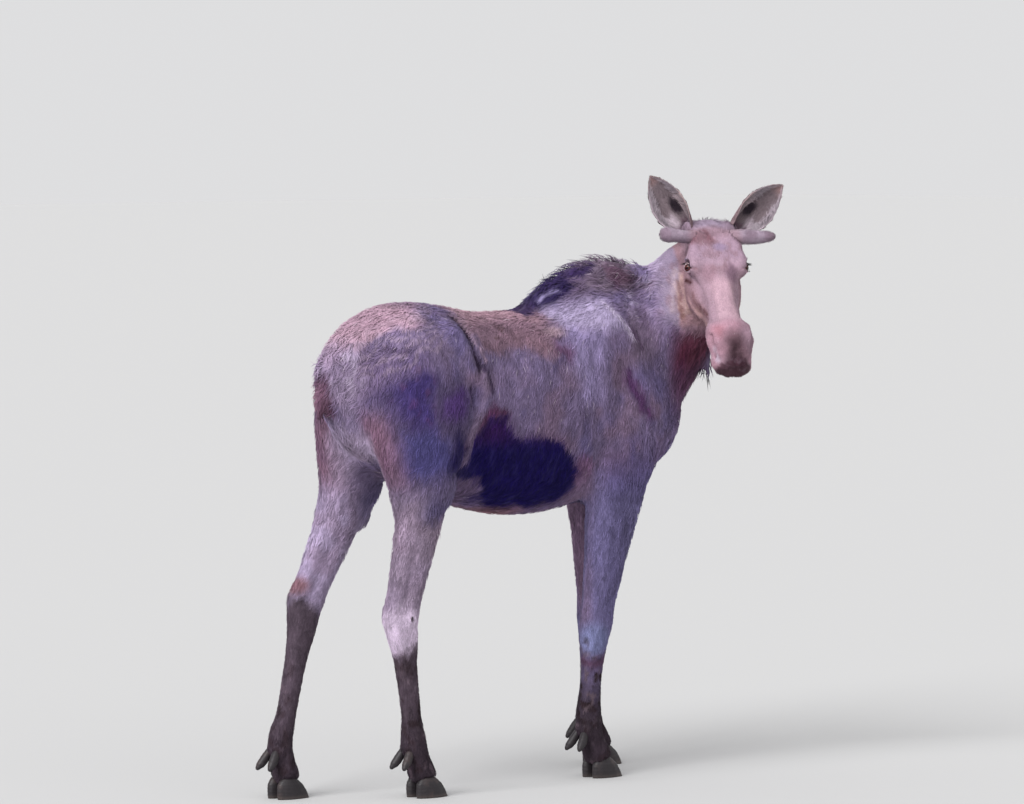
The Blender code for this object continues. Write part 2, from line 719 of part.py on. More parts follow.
def main():
    clear_scene()
    body = flesh()
    thin = body.modifiers.new("thin", "DECIMATE")
    body.data.calc_loop_triangles()
    thin.ratio = FLESH_TRIANGLES / len(body.data.loop_triangles)
    baked(body)
    set_on = [tail(), bell()]
    for side in (1, -1):
        set_on += [antler(side), ear(side), eye(side)]
    for leg, joints in LEGS.items():
        for side in (1, -1):
            word = "outer" if (side > 0) == leg.endswith("left") else "inner"
            set_on.append(claw(joints, side, f"hoof_{leg}_{word}"))
            set_on.append(dewclaw(joints, side, f"dewclaw_{leg}_{word}"))
    for piece in set_on:
        cut_away(body, grown(piece, GAP))
    moose = bpy.data.collections.new("moose")
    bpy.context.scene.collection.children.link(moose)
    for piece in part_flesh(body) + set_on:
        finish(piece, moose)


if __name__ == "__main__":
    main()
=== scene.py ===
"""The looks of a life-size young bull moose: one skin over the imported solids, a moulting coat of solid tufts
that lie along it, wet eyes, velvet antlers and muddy black hooves.

Metres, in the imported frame. The body's features are placed from a point under the trunk, which lies at BODY in
the frame, and the head's in the head's own frame: X from poll to nose, Y to his left, Z out of the forehead.
"""

import math

import bmesh
import bpy
import numpy as np
from mathutils import Matrix, Vector
from mathutils.bvhtree import BVHTree


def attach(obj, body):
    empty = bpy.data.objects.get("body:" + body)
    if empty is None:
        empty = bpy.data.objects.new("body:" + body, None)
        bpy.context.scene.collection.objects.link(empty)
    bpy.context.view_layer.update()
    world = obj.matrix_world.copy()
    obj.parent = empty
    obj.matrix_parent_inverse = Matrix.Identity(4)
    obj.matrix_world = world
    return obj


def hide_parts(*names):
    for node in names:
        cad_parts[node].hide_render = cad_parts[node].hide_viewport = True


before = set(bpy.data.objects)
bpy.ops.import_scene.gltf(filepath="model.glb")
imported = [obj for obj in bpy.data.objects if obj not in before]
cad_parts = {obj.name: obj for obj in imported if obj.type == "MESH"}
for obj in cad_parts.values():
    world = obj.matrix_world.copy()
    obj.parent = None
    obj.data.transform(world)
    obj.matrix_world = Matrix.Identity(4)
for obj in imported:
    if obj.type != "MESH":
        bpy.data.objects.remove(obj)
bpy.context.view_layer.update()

FLESH = (
    "head", "neck", "trunk", "leg_front_left", "leg_front_right", "leg_hind_left", "leg_hind_right", "tail", "bell",
)
BODY = np.array((-0.1305, 0.1485, 0.0))
POLL = Vector((0.6975, -0.0595, 1.825))
HEADING, PITCH, ROLL = math.radians(-121.5), math.radians(45), math.radians(-1)
EYE = np.array((0.188, 0.088, -0.046))  # in the head's frame, and mirrored on his right
EYE_RADIUS = 0.0205
LID = 0.0028  # how far the skin of the lids stands off the ball
SOCKET = 0.004  # how far the skin behind the lids' opening lies inside the ball
SKIN_GRAIN = 0.0105  # edge of the skin's mesh on the body, halved on the head and again on the muzzle and by the eyes
POLL_START, MUZZLE_START = -0.02, 0.455  # where the finer meshes of head and muzzle begin, along the head
EAR_ROOT_RADIUS = 0.025
COAT_DEPTHS = {"trunk": 0.0105, "neck": 0.012, "head": 0.0035, "tail": 0.009, "bell": 0.004}
SOLE = 0.003  # no skin lies lower than this
SMOOTHING = 26  # rounds that melt the solids of the skin together
TUFTS = 136_000  # over the skin
PIECE_TUFTS = 18_500  # the most in one piece of the coat
TUFT_MARK = 0.0015  # half the width of a tuft on its unwrap
EAR_TUFTS = 2300  # on either side of an ear
FUZZ_TUFTS = 1500  # on an antler
LASHES = 84  # round an eye
HORN_GRAIN = 0.0030  # edge of the mesh of hooves and dewclaws
RING_GAP = 0.011  # between the growth rings of a hoof
SEED = 7

HEAD = (
    Matrix.Translation(POLL) @ Matrix.Rotation(HEADING, 4, "Z") @ Matrix.Rotation(PITCH, 4, "Y")
    @ Matrix.Rotation(ROLL, 4, "X")
)
HEAD_AXES = np.array(HEAD.to_3x3())
random = np.random.default_rng(SEED)

# Joints of the legs in body coordinates
LEGS = {
    "leg_front_right": dict(
        elbow=(0.425, -0.155, 0.910), knee=(0.368, -0.135, 0.500), fetlock=(0.350, -0.130, 0.170),
        hoof=(0.405, -0.130, 0.0)),
    "leg_front_left": dict(
        elbow=(0.615, 0.145, 0.910), knee=(0.605, 0.130, 0.500), fetlock=(0.590, 0.128, 0.170),
        hoof=(0.645, 0.128, 0.0)),
    "leg_hind_right": dict(
        stifle=(-0.375, -0.165, 0.970), hock=(-0.478, -0.155, 0.560), fetlock=(-0.420, -0.150, 0.170),
        hoof=(-0.373, -0.150, 0.0)),
    "leg_hind_left": dict(
        stifle=(-0.400, 0.160, 0.970), hock=(-0.640, 0.125, 0.598), fetlock=(-0.748, 0.118, 0.170),
        hoof=(-0.722, 0.118, 0.0)),
}


# ---------------------------------------------------------------- arithmetic


def to_head(points):
    return (points - np.array(POLL)) @ HEAD_AXES


def from_head(points):
    return np.atleast_2d(points) @ HEAD_AXES.T + np.array(POLL)


def mirrored(points):
    """Places in the head's frame with his right side folded onto his left."""
    return np.column_stack([points[:, 0], np.abs(points[:, 1]), points[:, 2]])


def unit(vectors):
    return vectors / np.maximum(np.linalg.norm(vectors, axis=-1, keepdims=True), 1e-9)


def flat(vectors, normals):
    """Vectors laid into the surface with these normals, one long."""
    return unit(vectors - (vectors * normals).sum(axis=1, keepdims=True) * normals)


def step(low, high, x):
    """0 below low, 1 above high and smooth between."""
    t = np.clip((x - low) / (high - low), 0, 1)
    return t * t * (3 - 2 * t)


def fade(low, high, x):
    """1 below low, 0 above high and smooth between."""
    return 1 - step(low, high, x)


def band(x, low, high, soft):
    """1 between low and high, and soft at both ends."""
    return step(low - soft, low + soft, x) * fade(high - soft, high + soft, x)


def noise(points, size, seed=0):
    """Smooth values from -1 to 1 that vary over about size."""
    q = points / size + 1000.0
    cell = np.floor(q).astype(np.int64)
    f = q - cell
    f = f * f * (3 - 2 * f)
    total = np.zeros(len(points))
    for corner in range(8):
        bit = np.array((corner & 1, corner >> 1 & 1, corner >> 2 & 1))
        i, j, k = (cell + bit).T
        h = (i * 73856093) ^ (j * 19349663) ^ (k * 83492791) ^ (seed * 2654435761)
        h = (h ^ (h >> 13)) * 1274126177 & 0xFFFFFFFF
        h = (h ^ (h >> 16)) & 0xFFFF
        total += np.prod(np.where(bit, f, 1 - f), axis=1) * (h / 32767.5 - 1)
    return total


def layered(points, size, seed=0):
    """Noise at three sizes."""
    fine = noise(points, size / 2.1, seed + 1) / 2 + noise(points, size / 4.3, seed + 2) / 4
    return (noise(points, size, seed) + fine) / 1.3


def path_distance(points, path):
    """How far each point is from a polyline, in as many dimensions as the path has."""
    best = np.full(len(points), np.inf)
    path = np.asarray(path, float)
    for a, b in zip(path, path[1:]):
        run = b - a
        t = np.clip((points - a) @ run / (run @ run), 0, 1)
        best = np.minimum(best, np.linalg.norm(points - a - t[:, None] * run, axis=1))
    return best


def near(points, path, width):
    """1 on the path, fading over width."""
    return np.exp(-((path_distance(points, path) / width) ** 2))


def raised(points, rows):
    """Heights of a few ridges, and of grooves where they are negative, from rows of height, line and width."""
    return sum(height * near(points, path, width) for height, path, width in rows)


def spot(points, centre, radii, soft=0.35):
    """1 inside an ellipse or ellipsoid, fading over its edge by the share soft."""
    away = np.linalg.norm((points - np.array(centre)) / np.array(radii), axis=1)
    return fade(1 - soft, 1 + soft, away)


def inside(points, outline, soft):
    """1 inside an outline in a plane, 0 outside it, soft across its edge."""
    outline = np.asarray(outline, float)
    closed = np.vstack([outline, outline[:1]])
    hit = np.zeros(len(points), bool)
    for (ax, ay), (bx, by) in zip(closed, closed[1:]):
        spans = (ay > points[:, 1]) != (by > points[:, 1])
        hit ^= spans & (points[:, 0] < ax + (points[:, 1] - ay) / (by - ay if by != ay else 1e-9) * (bx - ax))
    away = path_distance(points, closed)
    return step(-soft, soft, np.where(hit, away, -away))


def lerp(a, b, t):
    return tuple(p + (q - p) * t for p, q in zip(a, b))


# ---------------------------------------------------------------- meshes


def got(items, key, width=1, kind=float):
    """One attribute of all of a mesh's items as an array, with so many columns when it holds more than one number."""
    found = np.empty(len(items) * width, kind)
    items.foreach_get(key, found)
    return found.reshape(-1, width) if width > 1 else found


def points_of(obj):
    return got(obj.data.vertices, "co", 3)


def normals_of(obj):
    return got(obj.data.vertices, "normal", 3)


def set_points(obj, points):
    obj.data.vertices.foreach_set("co", np.ascontiguousarray(points).ravel())
    obj.data.update()


def placed(obj):
    bpy.context.scene.collection.objects.link(obj)
    return obj


def new_object(name, vertices, faces):
    mesh = bpy.data.meshes.new(name)
    mesh.from_pydata([tuple(v) for v in vertices], [], faces)
    return placed(bpy.data.objects.new(name, mesh))


def remeshed(obj, voxel):
    """Fuses obj's solids into one closed surface."""
    fuse = obj.modifiers.new("fuse", "REMESH")
    fuse.mode = "VOXEL"
    fuse.voxel_size = voxel
    mesh = bpy.data.meshes.new_from_object(obj.evaluated_get(bpy.context.evaluated_depsgraph_get()))
    obj.modifiers.clear()
    obj.data = mesh
    mesh.name = obj.name
    return obj


def neighbours(obj):
    """The two ends of each edge, and how many edges each vertex has."""
    a, b = got(obj.data.edges, "vertices", 2, int).T
    return a, b, np.maximum(np.bincount(np.concatenate([a, b]), minlength=len(obj.data.vertices)), 1)[:, None]


def spread(values, ring):
    """Each vertex's value made the mean of its neighbours'."""
    a, b, count = ring
    total = np.zeros_like(values)
    for k in range(values.shape[1]):
        total[:, k] = np.bincount(a, values[b, k], len(values)) + np.bincount(b, values[a, k], len(values))
    return total / count


def evened(values, ring, rounds, share=0.6):
    for _ in range(rounds):
        values = values + share * (spread(values, ring) - values)
    return values


def face_outward(obj):
    bm = bmesh.new()
    bm.from_mesh(obj.data)
    bmesh.ops.recalc_face_normals(bm, faces=bm.faces)
    bm.to_mesh(obj.data)
    bm.free()


def refine(obj, chosen):
    """Divides the faces whose middles chosen(points) picks."""
    bm = bmesh.new()
    bm.from_mesh(obj.data)
    middles = np.array([f.calc_center_median() for f in bm.faces])
    edges = {e for f, yes in zip(bm.faces, chosen(middles)) if yes for e in f.edges}
    bmesh.ops.subdivide_edges(bm, edges=list(edges), cuts=1, use_grid_fill=True)
    bm.to_mesh(obj.data)
    bm.free()


def smooth_rows(rows, count):
    """A smooth curve through rows of numbers, the first three a place, read at count even steps."""
    rows = np.array(rows, float)
    knots = np.concatenate([[0], np.cumsum(np.linalg.norm(np.diff(rows[:, :3], axis=0), axis=1))])
    slopes = np.gradient(rows, knots, axis=0)
    reads = np.linspace(0, knots[-1], count)
    i = np.clip(np.searchsorted(knots, reads, side="right") - 1, 0, len(knots) - 2)
    gap = (knots[i + 1] - knots[i])[:, None]
    t = (reads - knots[i])[:, None] / gap
    return (
        (2 * t**3 - 3 * t**2 + 1) * rows[i] + (t**3 - 2 * t**2 + t) * gap * slopes[i]
        + (3 * t**2 - 2 * t**3) * rows[i + 1] + (t**3 - t**2) * gap * slopes[i + 1]
    )


# ---------------------------------------------------------------- skin


def solids(nodes, swell):
    """The nodes' meshes in one list, each swollen a little so that they meet, and which node each face is of."""
    vertices, faces, owner, count = [], [], [], 0
    for k, node in enumerate(nodes):
        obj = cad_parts[node]
        points = points_of(obj)
        vertices.append(points + swell * normals_of(obj))
        faces += [[count + v for v in polygon.vertices] for polygon in obj.data.polygons]
        owner += [k] * len(obj.data.polygons)
        count += len(points)
    return np.vstack(vertices), faces, np.array(owner)


def add_ball(vertices, faces, centre, radii):
    """An ellipsoid among the solids, to fill a bed that another piece left."""
    bm = bmesh.new()
    bmesh.ops.create_icosphere(bm, subdivisions=3, radius=1)
    start = len(vertices)
    more = [np.array(v.co) * radii + centre for v in bm.verts]
    faces += [[start + v.index for v in f.verts] for f in bm.faces]
    bm.free()
    return np.vstack([vertices, more])


def coat_depth(p, w):
    """How far the skin lies under the tips of the coat."""
    depth = sum(deep * w[name] for name, deep in COAT_DEPTHS.items())
    leg = 0.0020 + 0.0065 * step(0.50, 0.95, p[:, 2]) - 0.0035 * fade(0.10, 0.3, p[:, 2])
    nape = w["neck"] * step(0.58, 0.66, p[:, 0]) * step(1.58, 1.64, p[:, 2])
    return depth + leg * w["leg"] + 0.012 * mane(p) - 0.007 * nape


def mane(p):
    """1 where the long hair of the withers stands, in body coordinates."""
    along = band(p[:, 0], 0.26, 0.70, 0.07)
    return along * step(1.555, 1.615, p[:, 2]) * fade(0.09, 0.13, np.abs(p[:, 1]))


def leg_marks(p):
    """Grooves and swellings of the four legs as displacements, in body coordinates."""
    move = np.zeros(len(p))
    for name, j in LEGS.items():
        top, joint, low, toe = j.values()
        rows = []
        for side in (1, -1):

            def off(place, back, out):
                return place[0] - back, place[1] + side * out, place[2]

            tendon = [off(lerp(joint, low, 0.2), 0.012, 0.034), off(lerp(joint, low, 0.9), 0.014, 0.032)]
            rows.append((-0.0035, tendon, 0.009))
            if "hind" in name:
                hollow = [off(lerp(top, joint, 0.45), 0.040, 0.050), off(lerp(top, joint, 0.92), 0.030, 0.038)]
                shin = [off(lerp(top, joint, 0.30), -0.020, 0.055), off(lerp(top, joint, 0.95), -0.020, 0.036)]
                ankle = [off(joint, -0.012, 0.040), off(joint, 0.000, 0.042)]
                rows += [(-0.008, hollow, 0.018), (0.003, shin, 0.020), (0.004, ankle, 0.020)]
            else:
                muscle = [off(lerp(top, joint, 0.10), 0.010, 0.066), off(lerp(top, joint, 0.55), 0.010, 0.056)]
                wrist = [off(joint, -0.020, 0.032), off(joint, 0.010, 0.040)]
                rows += [(-0.004, muscle, 0.012), (0.004, wrist, 0.022)]
        front = [(joint[0] + 0.055, joint[1], joint[2] + 0.012), (joint[0] + 0.052, joint[1], joint[2] - 0.020)]
        cleft = [(toe[0] + 0.045, toe[1], 0.110), (toe[0] + 0.075, toe[1], 0.030)]
        heel = [(low[0] - 0.035, low[1], 0.150), (toe[0] - 0.040, toe[1], 0.060)]
        rows += [(0.004, front, 0.022), (-0.007, cleft, 0.008), (-0.006, heel, 0.009)]
        move += step(-0.02, 0.02, p[:, 1] * math.copysign(1, joint[1])) * raised(p, rows)
    return move


def body_marks(p):
    """Folds, muscles and ribs of the trunk and neck as displacements, in body coordinates."""
    plane = p[:, ::2]
    flank = raised(plane, (
        (-0.013, FOLD, 0.012),
        (0.006, [(x - 0.040, z - 0.015) for x, z in FOLD], 0.018),
        (-0.006, RIB_SLIT, 0.009),
        (-0.009, FLANK_SLIT, 0.012),
        (-0.010, [(x - 0.030, z) for x, z in FLANK_SKIN[1:]], 0.016),
        (0.006, FLANK_SKIN, 0.016),
        (0.005, RIDGE, 0.014),
        (-0.008, [(0.330, 1.400), (0.315, 1.230), (0.345, 1.060)], 0.030),
        (0.006, [(0.470, 1.480), (0.545, 1.330), (0.600, 1.210)], 0.028),
        (-0.006, [(0.560, 1.470), (0.620, 1.330)], 0.024),
        (-0.006, [(0.420, 1.290), (0.470, 1.190), (0.560, 1.120)], 0.018),
    ))
    ribs = np.sin((p[:, 0] + 0.20 * (p[:, 2] - 1.2)) * math.tau / 0.052)
    flank += 0.0012 * ribs * band(p[:, 0], -0.04, 0.28, 0.05) * band(p[:, 2], 1.02, 1.40, 0.07)
    right = raised(plane, (
        (-0.006, [(0.545, 1.500), (0.575, 1.560), (0.620, 1.625)], 0.012),
        (-0.005, [(0.640, 1.450), (0.660, 1.560), (0.700, 1.680)], 0.014),
        *((-0.003, [(0.610, z - 0.005), (0.690, z)], 0.006) for z in (1.625, 1.650, 1.675)),
    ))
    tail = spot(p, (-0.62, 0.0, 1.36), (0.10, 0.12, 0.12), 0.6)
    move = flank * step(0.09, 0.15, np.abs(p[:, 1])) + right * step(0.05, 0.10, -p[:, 1])
    return move + 0.003 * tail * layered(p, 0.05, 40)


def unturned(h):
    """Places in the head's frame as they were before the muzzle was turned a little to his left."""
    return h - np.outer(0.007 * step(0.46, 0.60, h[:, 0]), (0, 1, 0))


NOSTRIL = [(0.500, 0.071, -0.038), (0.518, 0.068, -0.050), (0.536, 0.062, -0.064), (0.550, 0.054, -0.084)]


def head_marks(h):
    """The bones and folds of the head as displacements, in the head's frame."""
    mouth = [(0.395, 0.052, -0.130), (0.450, 0.056, -0.138), (0.520, 0.054, -0.141), (0.575, 0.040, -0.140),
             (0.605, 0.000, -0.134)]
    move = raised(mirrored(h), (
        (-0.004, [(0.216, 0.082, -0.060), (0.245, 0.068, -0.068)], 0.008),  # pit before the eye
        (0.004, [(0.215, 0.074, -0.100), (0.275, 0.062, -0.095), (0.335, 0.055, -0.090)], 0.013),
        (-0.005, [(0.265, 0.048, -0.025), (0.330, 0.046, -0.032), (0.430, 0.047, -0.032)], 0.016),
        (-0.005, [(0.115, 0.090, -0.040), (0.140, 0.095, -0.052)], 0.018),  # temple
        (0.003, [(0.150, 0.074, -0.006), (0.195, 0.080, -0.016), (0.225, 0.072, -0.030)], 0.011),  # brow
        (-0.005, [(0.120, 0.080, -0.120), (0.250, 0.066, -0.130), (0.330, 0.058, -0.125)], 0.014),
        (-0.003, [(0.090, 0.000, 0.010), (0.220, 0.000, 0.004)], 0.020),
        (-0.020, NOSTRIL, 0.0058),
        (0.005, [(0.496, 0.060, -0.022), (0.530, 0.054, -0.034), (0.562, 0.046, -0.056)], 0.011),
        (0.004, [(0.496, 0.071, -0.062), (0.522, 0.067, -0.080), (0.540, 0.058, -0.098)], 0.010),
        (-0.006, mouth, 0.0055),
        (0.003, [(0.520, 0.050, -0.122), (0.590, 0.020, -0.116)], 0.012),
        (-0.003, [(0.560, 0.000, -0.040), (0.602, 0.000, -0.095)], 0.007),
        *((-0.0016, [(x, 0.036, -0.010), (x + 0.010, 0.060, -0.036)], 0.004) for x in (0.438, 0.452, 0.466)),
    ))
    return move + 0.0008 * layered(h, 0.022, 60) * step(0.0, 0.05, h[:, 0])


def eye_axes(side):
    """One eye's middle, and the ways to its front corner, to its upper lid and out of it, in the head's frame."""
    out = unit(np.array((0.34, side * 0.86, 0.38)))
    fore = np.array((0.66, -side * 0.47, 0.58))
    fore = unit(fore - out * (fore @ out))
    rise = np.cross(out, fore)
    return np.array((1, side, 1)) * EYE, fore, rise * np.sign(rise @ (-1.0, 0.0, 1.0)), out


def lid_distance(a, b):
    """How far outside the opening between the lids a place is, given its distances forward and up from the middle."""
    half = np.where(b > 0, 0.0136, 0.0116) * np.clip(1 - (a / 0.0200) ** 2, 0, 1) ** 0.75
    return (np.abs(b) - half) + 0.010 * step(0.0170, 0.0220, np.abs(a))


def seat_eye(h, side):
    """Skin round one eye, in the head's frame: an almond opening, lids that follow the ball, and a fold above."""
    centre, fore, rise, out = eye_axes(side)
    r = h - centre
    a, b, c = r @ fore, r @ rise, r @ out
    close = (np.linalg.norm(r, axis=1) < 0.055) & (c > -0.012)
    edge = lid_distance(a, b)
    flat_reach = np.sqrt(a**2 + b**2)
    ball_at = np.sqrt(np.clip((EYE_RADIUS + LID) ** 2 - flat_reach**2, 0, None))
    lid = np.where(flat_reach < EYE_RADIUS, ball_at, 0)
    deep = np.sqrt(np.clip((EYE_RADIUS - SOCKET) ** 2 - flat_reach**2, 0, None)) - 0.001
    hug = fade(0.004, 0.016, edge)
    new_c = c + (lid - c) * hug * step(-0.02, 0.0, c)
    new_c -= 0.0028 * np.exp(-(((edge - 0.0085) / 0.0028) ** 2)) * step(0, 0.004, b)  # crease of the upper lid
    new_c += 0.0016 * np.exp(-(((edge - 0.0016) / 0.0016) ** 2))  # rim
    new_c = np.where(edge < 0, deep, new_c)
    moved = h + (new_c - c)[:, None] * out
    return np.where(close[:, None], moved, h)


def make_skin():
    """The skin, and each vertex's share of every part of the body."""
    vertices, faces, owner = solids(FLESH, 0.0005)
    tree = BVHTree.FromPolygons([tuple(v) for v in vertices], faces)
    for side in (1, -1):
        vertices = add_ball(vertices, faces, from_head((0.016, side * 0.064, -0.056))[0], EAR_ROOT_RADIUS)
    made = remeshed(new_object("skin", vertices, faces), SKIN_GRAIN)

    def on_head(places, start):
        h = to_head(places)
        return (h[:, 0] > start) & (np.abs(h[:, 1]) < 0.13) & (h[:, 2] > -0.24)

    for start in (POLL_START, MUZZLE_START):
        refine(made, lambda places: on_head(places, start))
    for reach in (0.036, 0.027):
        refine(made, lambda places: np.linalg.norm(mirrored(to_head(places)) - EYE, axis=1) < reach)
    ring = neighbours(made)
    points = points_of(made)
    found = [tree.find_nearest(Vector(p)) for p in points]
    owned = np.zeros((len(points), len(FLESH)))
    owned[np.arange(len(points)), owner[[f[2] for f in found]]] = 1
    owned = evened(owned, ring, 10)
    w = {name: owned[:, k] for k, name in enumerate(FLESH)}
    w["leg"] = sum(w[name] for name in LEGS)
    # The joints between the solids are smoothed away, and then the skin is sunk by the depth of the coat.
    stiff = np.clip(1 - 0.62 * w["head"] - 0.78 * w["leg"] * fade(0.4, 0.9, points[:, 2]), 0.2, 1)
    for _ in range(SMOOTHING):
        points = points + 0.6 * stiff[:, None] * (spread(points, ring) - points)
    set_points(made, points)
    normals = normals_of(made)
    found = [tree.find_nearest(Vector(p)) for p in points]
    sunk = ((points - np.array([f[0] for f in found])) * normals).sum(axis=1)
    wanted = -coat_depth(points - BODY, w)
    points = points + evened((wanted - sunk)[:, None], ring, 6) * normals
    set_points(made, points)
    normals = normals_of(made)
    p, h = points - BODY, to_head(points)
    face = w["head"] * step(-0.04, 0.02, h[:, 0])
    move = leg_marks(p) * w["leg"] + body_marks(p) * (1 - w["head"]) + head_marks(h) * face
    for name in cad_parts:
        if name.startswith("dewclaw"):
            claw = points_of(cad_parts[name])
            move += 0.008 * fade(0.010, 0.034, np.linalg.norm(points - claw[claw[:, 2].argmax()], axis=1))
    points = points + evened(move[:, None], ring, 1) * normals
    h = to_head(points)
    h = 2 * h - unturned(h)
    for side in (1, -1):
        h = seat_eye(h, side)
    points = from_head(h)
    points[:, 2] = np.maximum(points[:, 2], SOLE)
    set_points(made, points)
    return made, w


def unwrap(obj):
    """Unwraps obj into a UV map named OFBake."""
    bpy.context.view_layer.objects.active = obj
    obj.select_set(True)
    obj.data.uv_layers.new(name="OFBake")
    bpy.ops.object.mode_set(mode="EDIT")
    bpy.ops.mesh.select_all(action="SELECT")
    bpy.ops.uv.smart_project(angle_limit=math.radians(75), island_margin=0.002)
    bpy.ops.object.mode_set(mode="OBJECT")
    obj.select_set(False)


# ---------------------------------------------------------------- colours


def tone(red, green, blue):
    """A colour as it looks in soft light, as linear values."""
    c = np.array((red, green, blue)) / 255
    return ((c + 0.055) / 1.055) ** 2.4


def laid(colours, weight, tint):
    return colours + (tone(*tint) - colours) * np.clip(weight, 0, 1)[:, None]


def overlaid(colours, layers):
    """The colours with every layer, a weight and a tint, laid over them in turn."""
    for weight, tint in layers:
        colours = laid(colours, weight, tint)
    return colours


# Markings of either flank, and some painted shade, as outlines and lines of x and z in body coordinates
DARK_BELLY = [
    (-0.200, 1.055), (-0.235, 1.110), (-0.175, 1.147), (-0.147, 1.177), (-0.126, 1.209), (-0.089, 1.193),
    (-0.052, 1.162), (-0.005, 1.130), (0.093, 1.124), (0.157, 1.116), (0.192, 1.081), (0.230, 1.030),
    (0.259, 0.980), (0.262, 0.940), (0.214, 0.922), (0.099, 0.892), (-0.040, 0.895), (-0.090, 0.926),
    (-0.105, 0.969), (-0.143, 1.003), (-0.260, 1.000),
]
# Painted shade: navy at the front and foot of the thigh's dark patch
NAVY_THIGH_SHADE = [
    (-0.295, 1.171), (-0.250, 1.130), (-0.240, 1.068), (-0.260, 1.010), (-0.330, 1.010), (-0.350, 1.045),
    (-0.320, 1.105),
]
PURPLE_THIGH = [
    (-0.550, 1.285), (-0.521, 1.347), (-0.460, 1.392), (-0.419, 1.383), (-0.389, 1.327), (-0.403, 1.264),
    (-0.389, 1.181), (-0.452, 1.171), (-0.509, 1.220),
]
PLUM_STIFLE = [(-0.348, 1.274), (-0.270, 1.307), (-0.238, 1.223), (-0.311, 1.190), (-0.358, 1.223)]
DIM_THIGH = [
    (-0.600, 1.270), (-0.570, 1.350), (-0.480, 1.405), (-0.419, 1.390), (-0.370, 1.345), (-0.264, 1.320),
    (-0.215, 1.223), (-0.240, 1.130), (-0.302, 0.960), (-0.418, 0.900), (-0.510, 0.990), (-0.560, 1.140),
]
# Painted shade: blue below the thigh's dark patch
BLUE_THIGH_SHADE = [(-0.517, 1.160), (-0.434, 1.171), (-0.333, 1.139), (-0.322, 1.024), (-0.418, 1.000), (-0.494, 1.015)]
PALE_SHOULDER = [
    (0.195, 1.505), (0.221, 1.526), (0.305, 1.543), (0.380, 1.556), (0.442, 1.560), (0.460, 1.518), (0.490, 1.468),
    (0.384, 1.462), (0.305, 1.468), (0.234, 1.484),
]
BLUE_SHOULDER = [
    (0.247, 1.478), (0.400, 1.480), (0.390, 1.398), (0.343, 1.318), (0.334, 1.239), (0.261, 1.243), (0.226, 1.325),
    (0.210, 1.403),
]
WARM_LOIN = [
    (-0.200, 1.500), (-0.120, 1.560), (0.150, 1.550), (0.180, 1.440), (0.170, 1.375), (0.060, 1.400), (-0.050, 1.390),
    (-0.150, 1.410),
]
MAROON_RIB = [(0.178, 1.430), (0.252, 1.401), (0.228, 1.365), (0.165, 1.386)]
DARK_MANE = [
    (0.110, 1.530), (0.125, 1.505), (0.171, 1.510), (0.231, 1.538), (0.301, 1.562), (0.360, 1.594), (0.350, 1.640),
    (0.280, 1.640), (0.180, 1.580),
]
HIGH_DARK_MANE = [(0.350, 1.650), (0.399, 1.664), (0.470, 1.668), (0.440, 1.645), (0.402, 1.628), (0.355, 1.626)]
RED_MANE = [(0.500, 1.672), (0.565, 1.668), (0.625, 1.625), (0.617, 1.600), (0.529, 1.595), (0.500, 1.633)]
FOLD = [
    (-0.237, 1.527), (-0.215, 1.509), (-0.202, 1.477), (-0.195, 1.441), (-0.192, 1.408), (-0.184, 1.375),
    (-0.175, 1.347),
]
FOLD_EDGE = [(-0.218, 1.527), (-0.194, 1.500), (-0.181, 1.455), (-0.160, 1.407), (-0.150, 1.375)]
RIB_SLIT = [(-0.154, 1.362), (-0.143, 1.327), (-0.123, 1.275)]
FLANK_SLIT = [(-0.222, 1.290), (-0.202, 1.220)]
FLANK_SKIN = [(-0.160, 1.340), (-0.162, 1.255), (-0.178, 1.192), (-0.227, 1.130), (-0.205, 1.060)]
RIDGE = [(0.446, 1.549), (0.464, 1.519), (0.492, 1.472), (0.516, 1.426)]
ARMPIT = [(0.466, 1.305), (0.499, 1.262), (0.519, 1.216), (0.539, 1.180)]


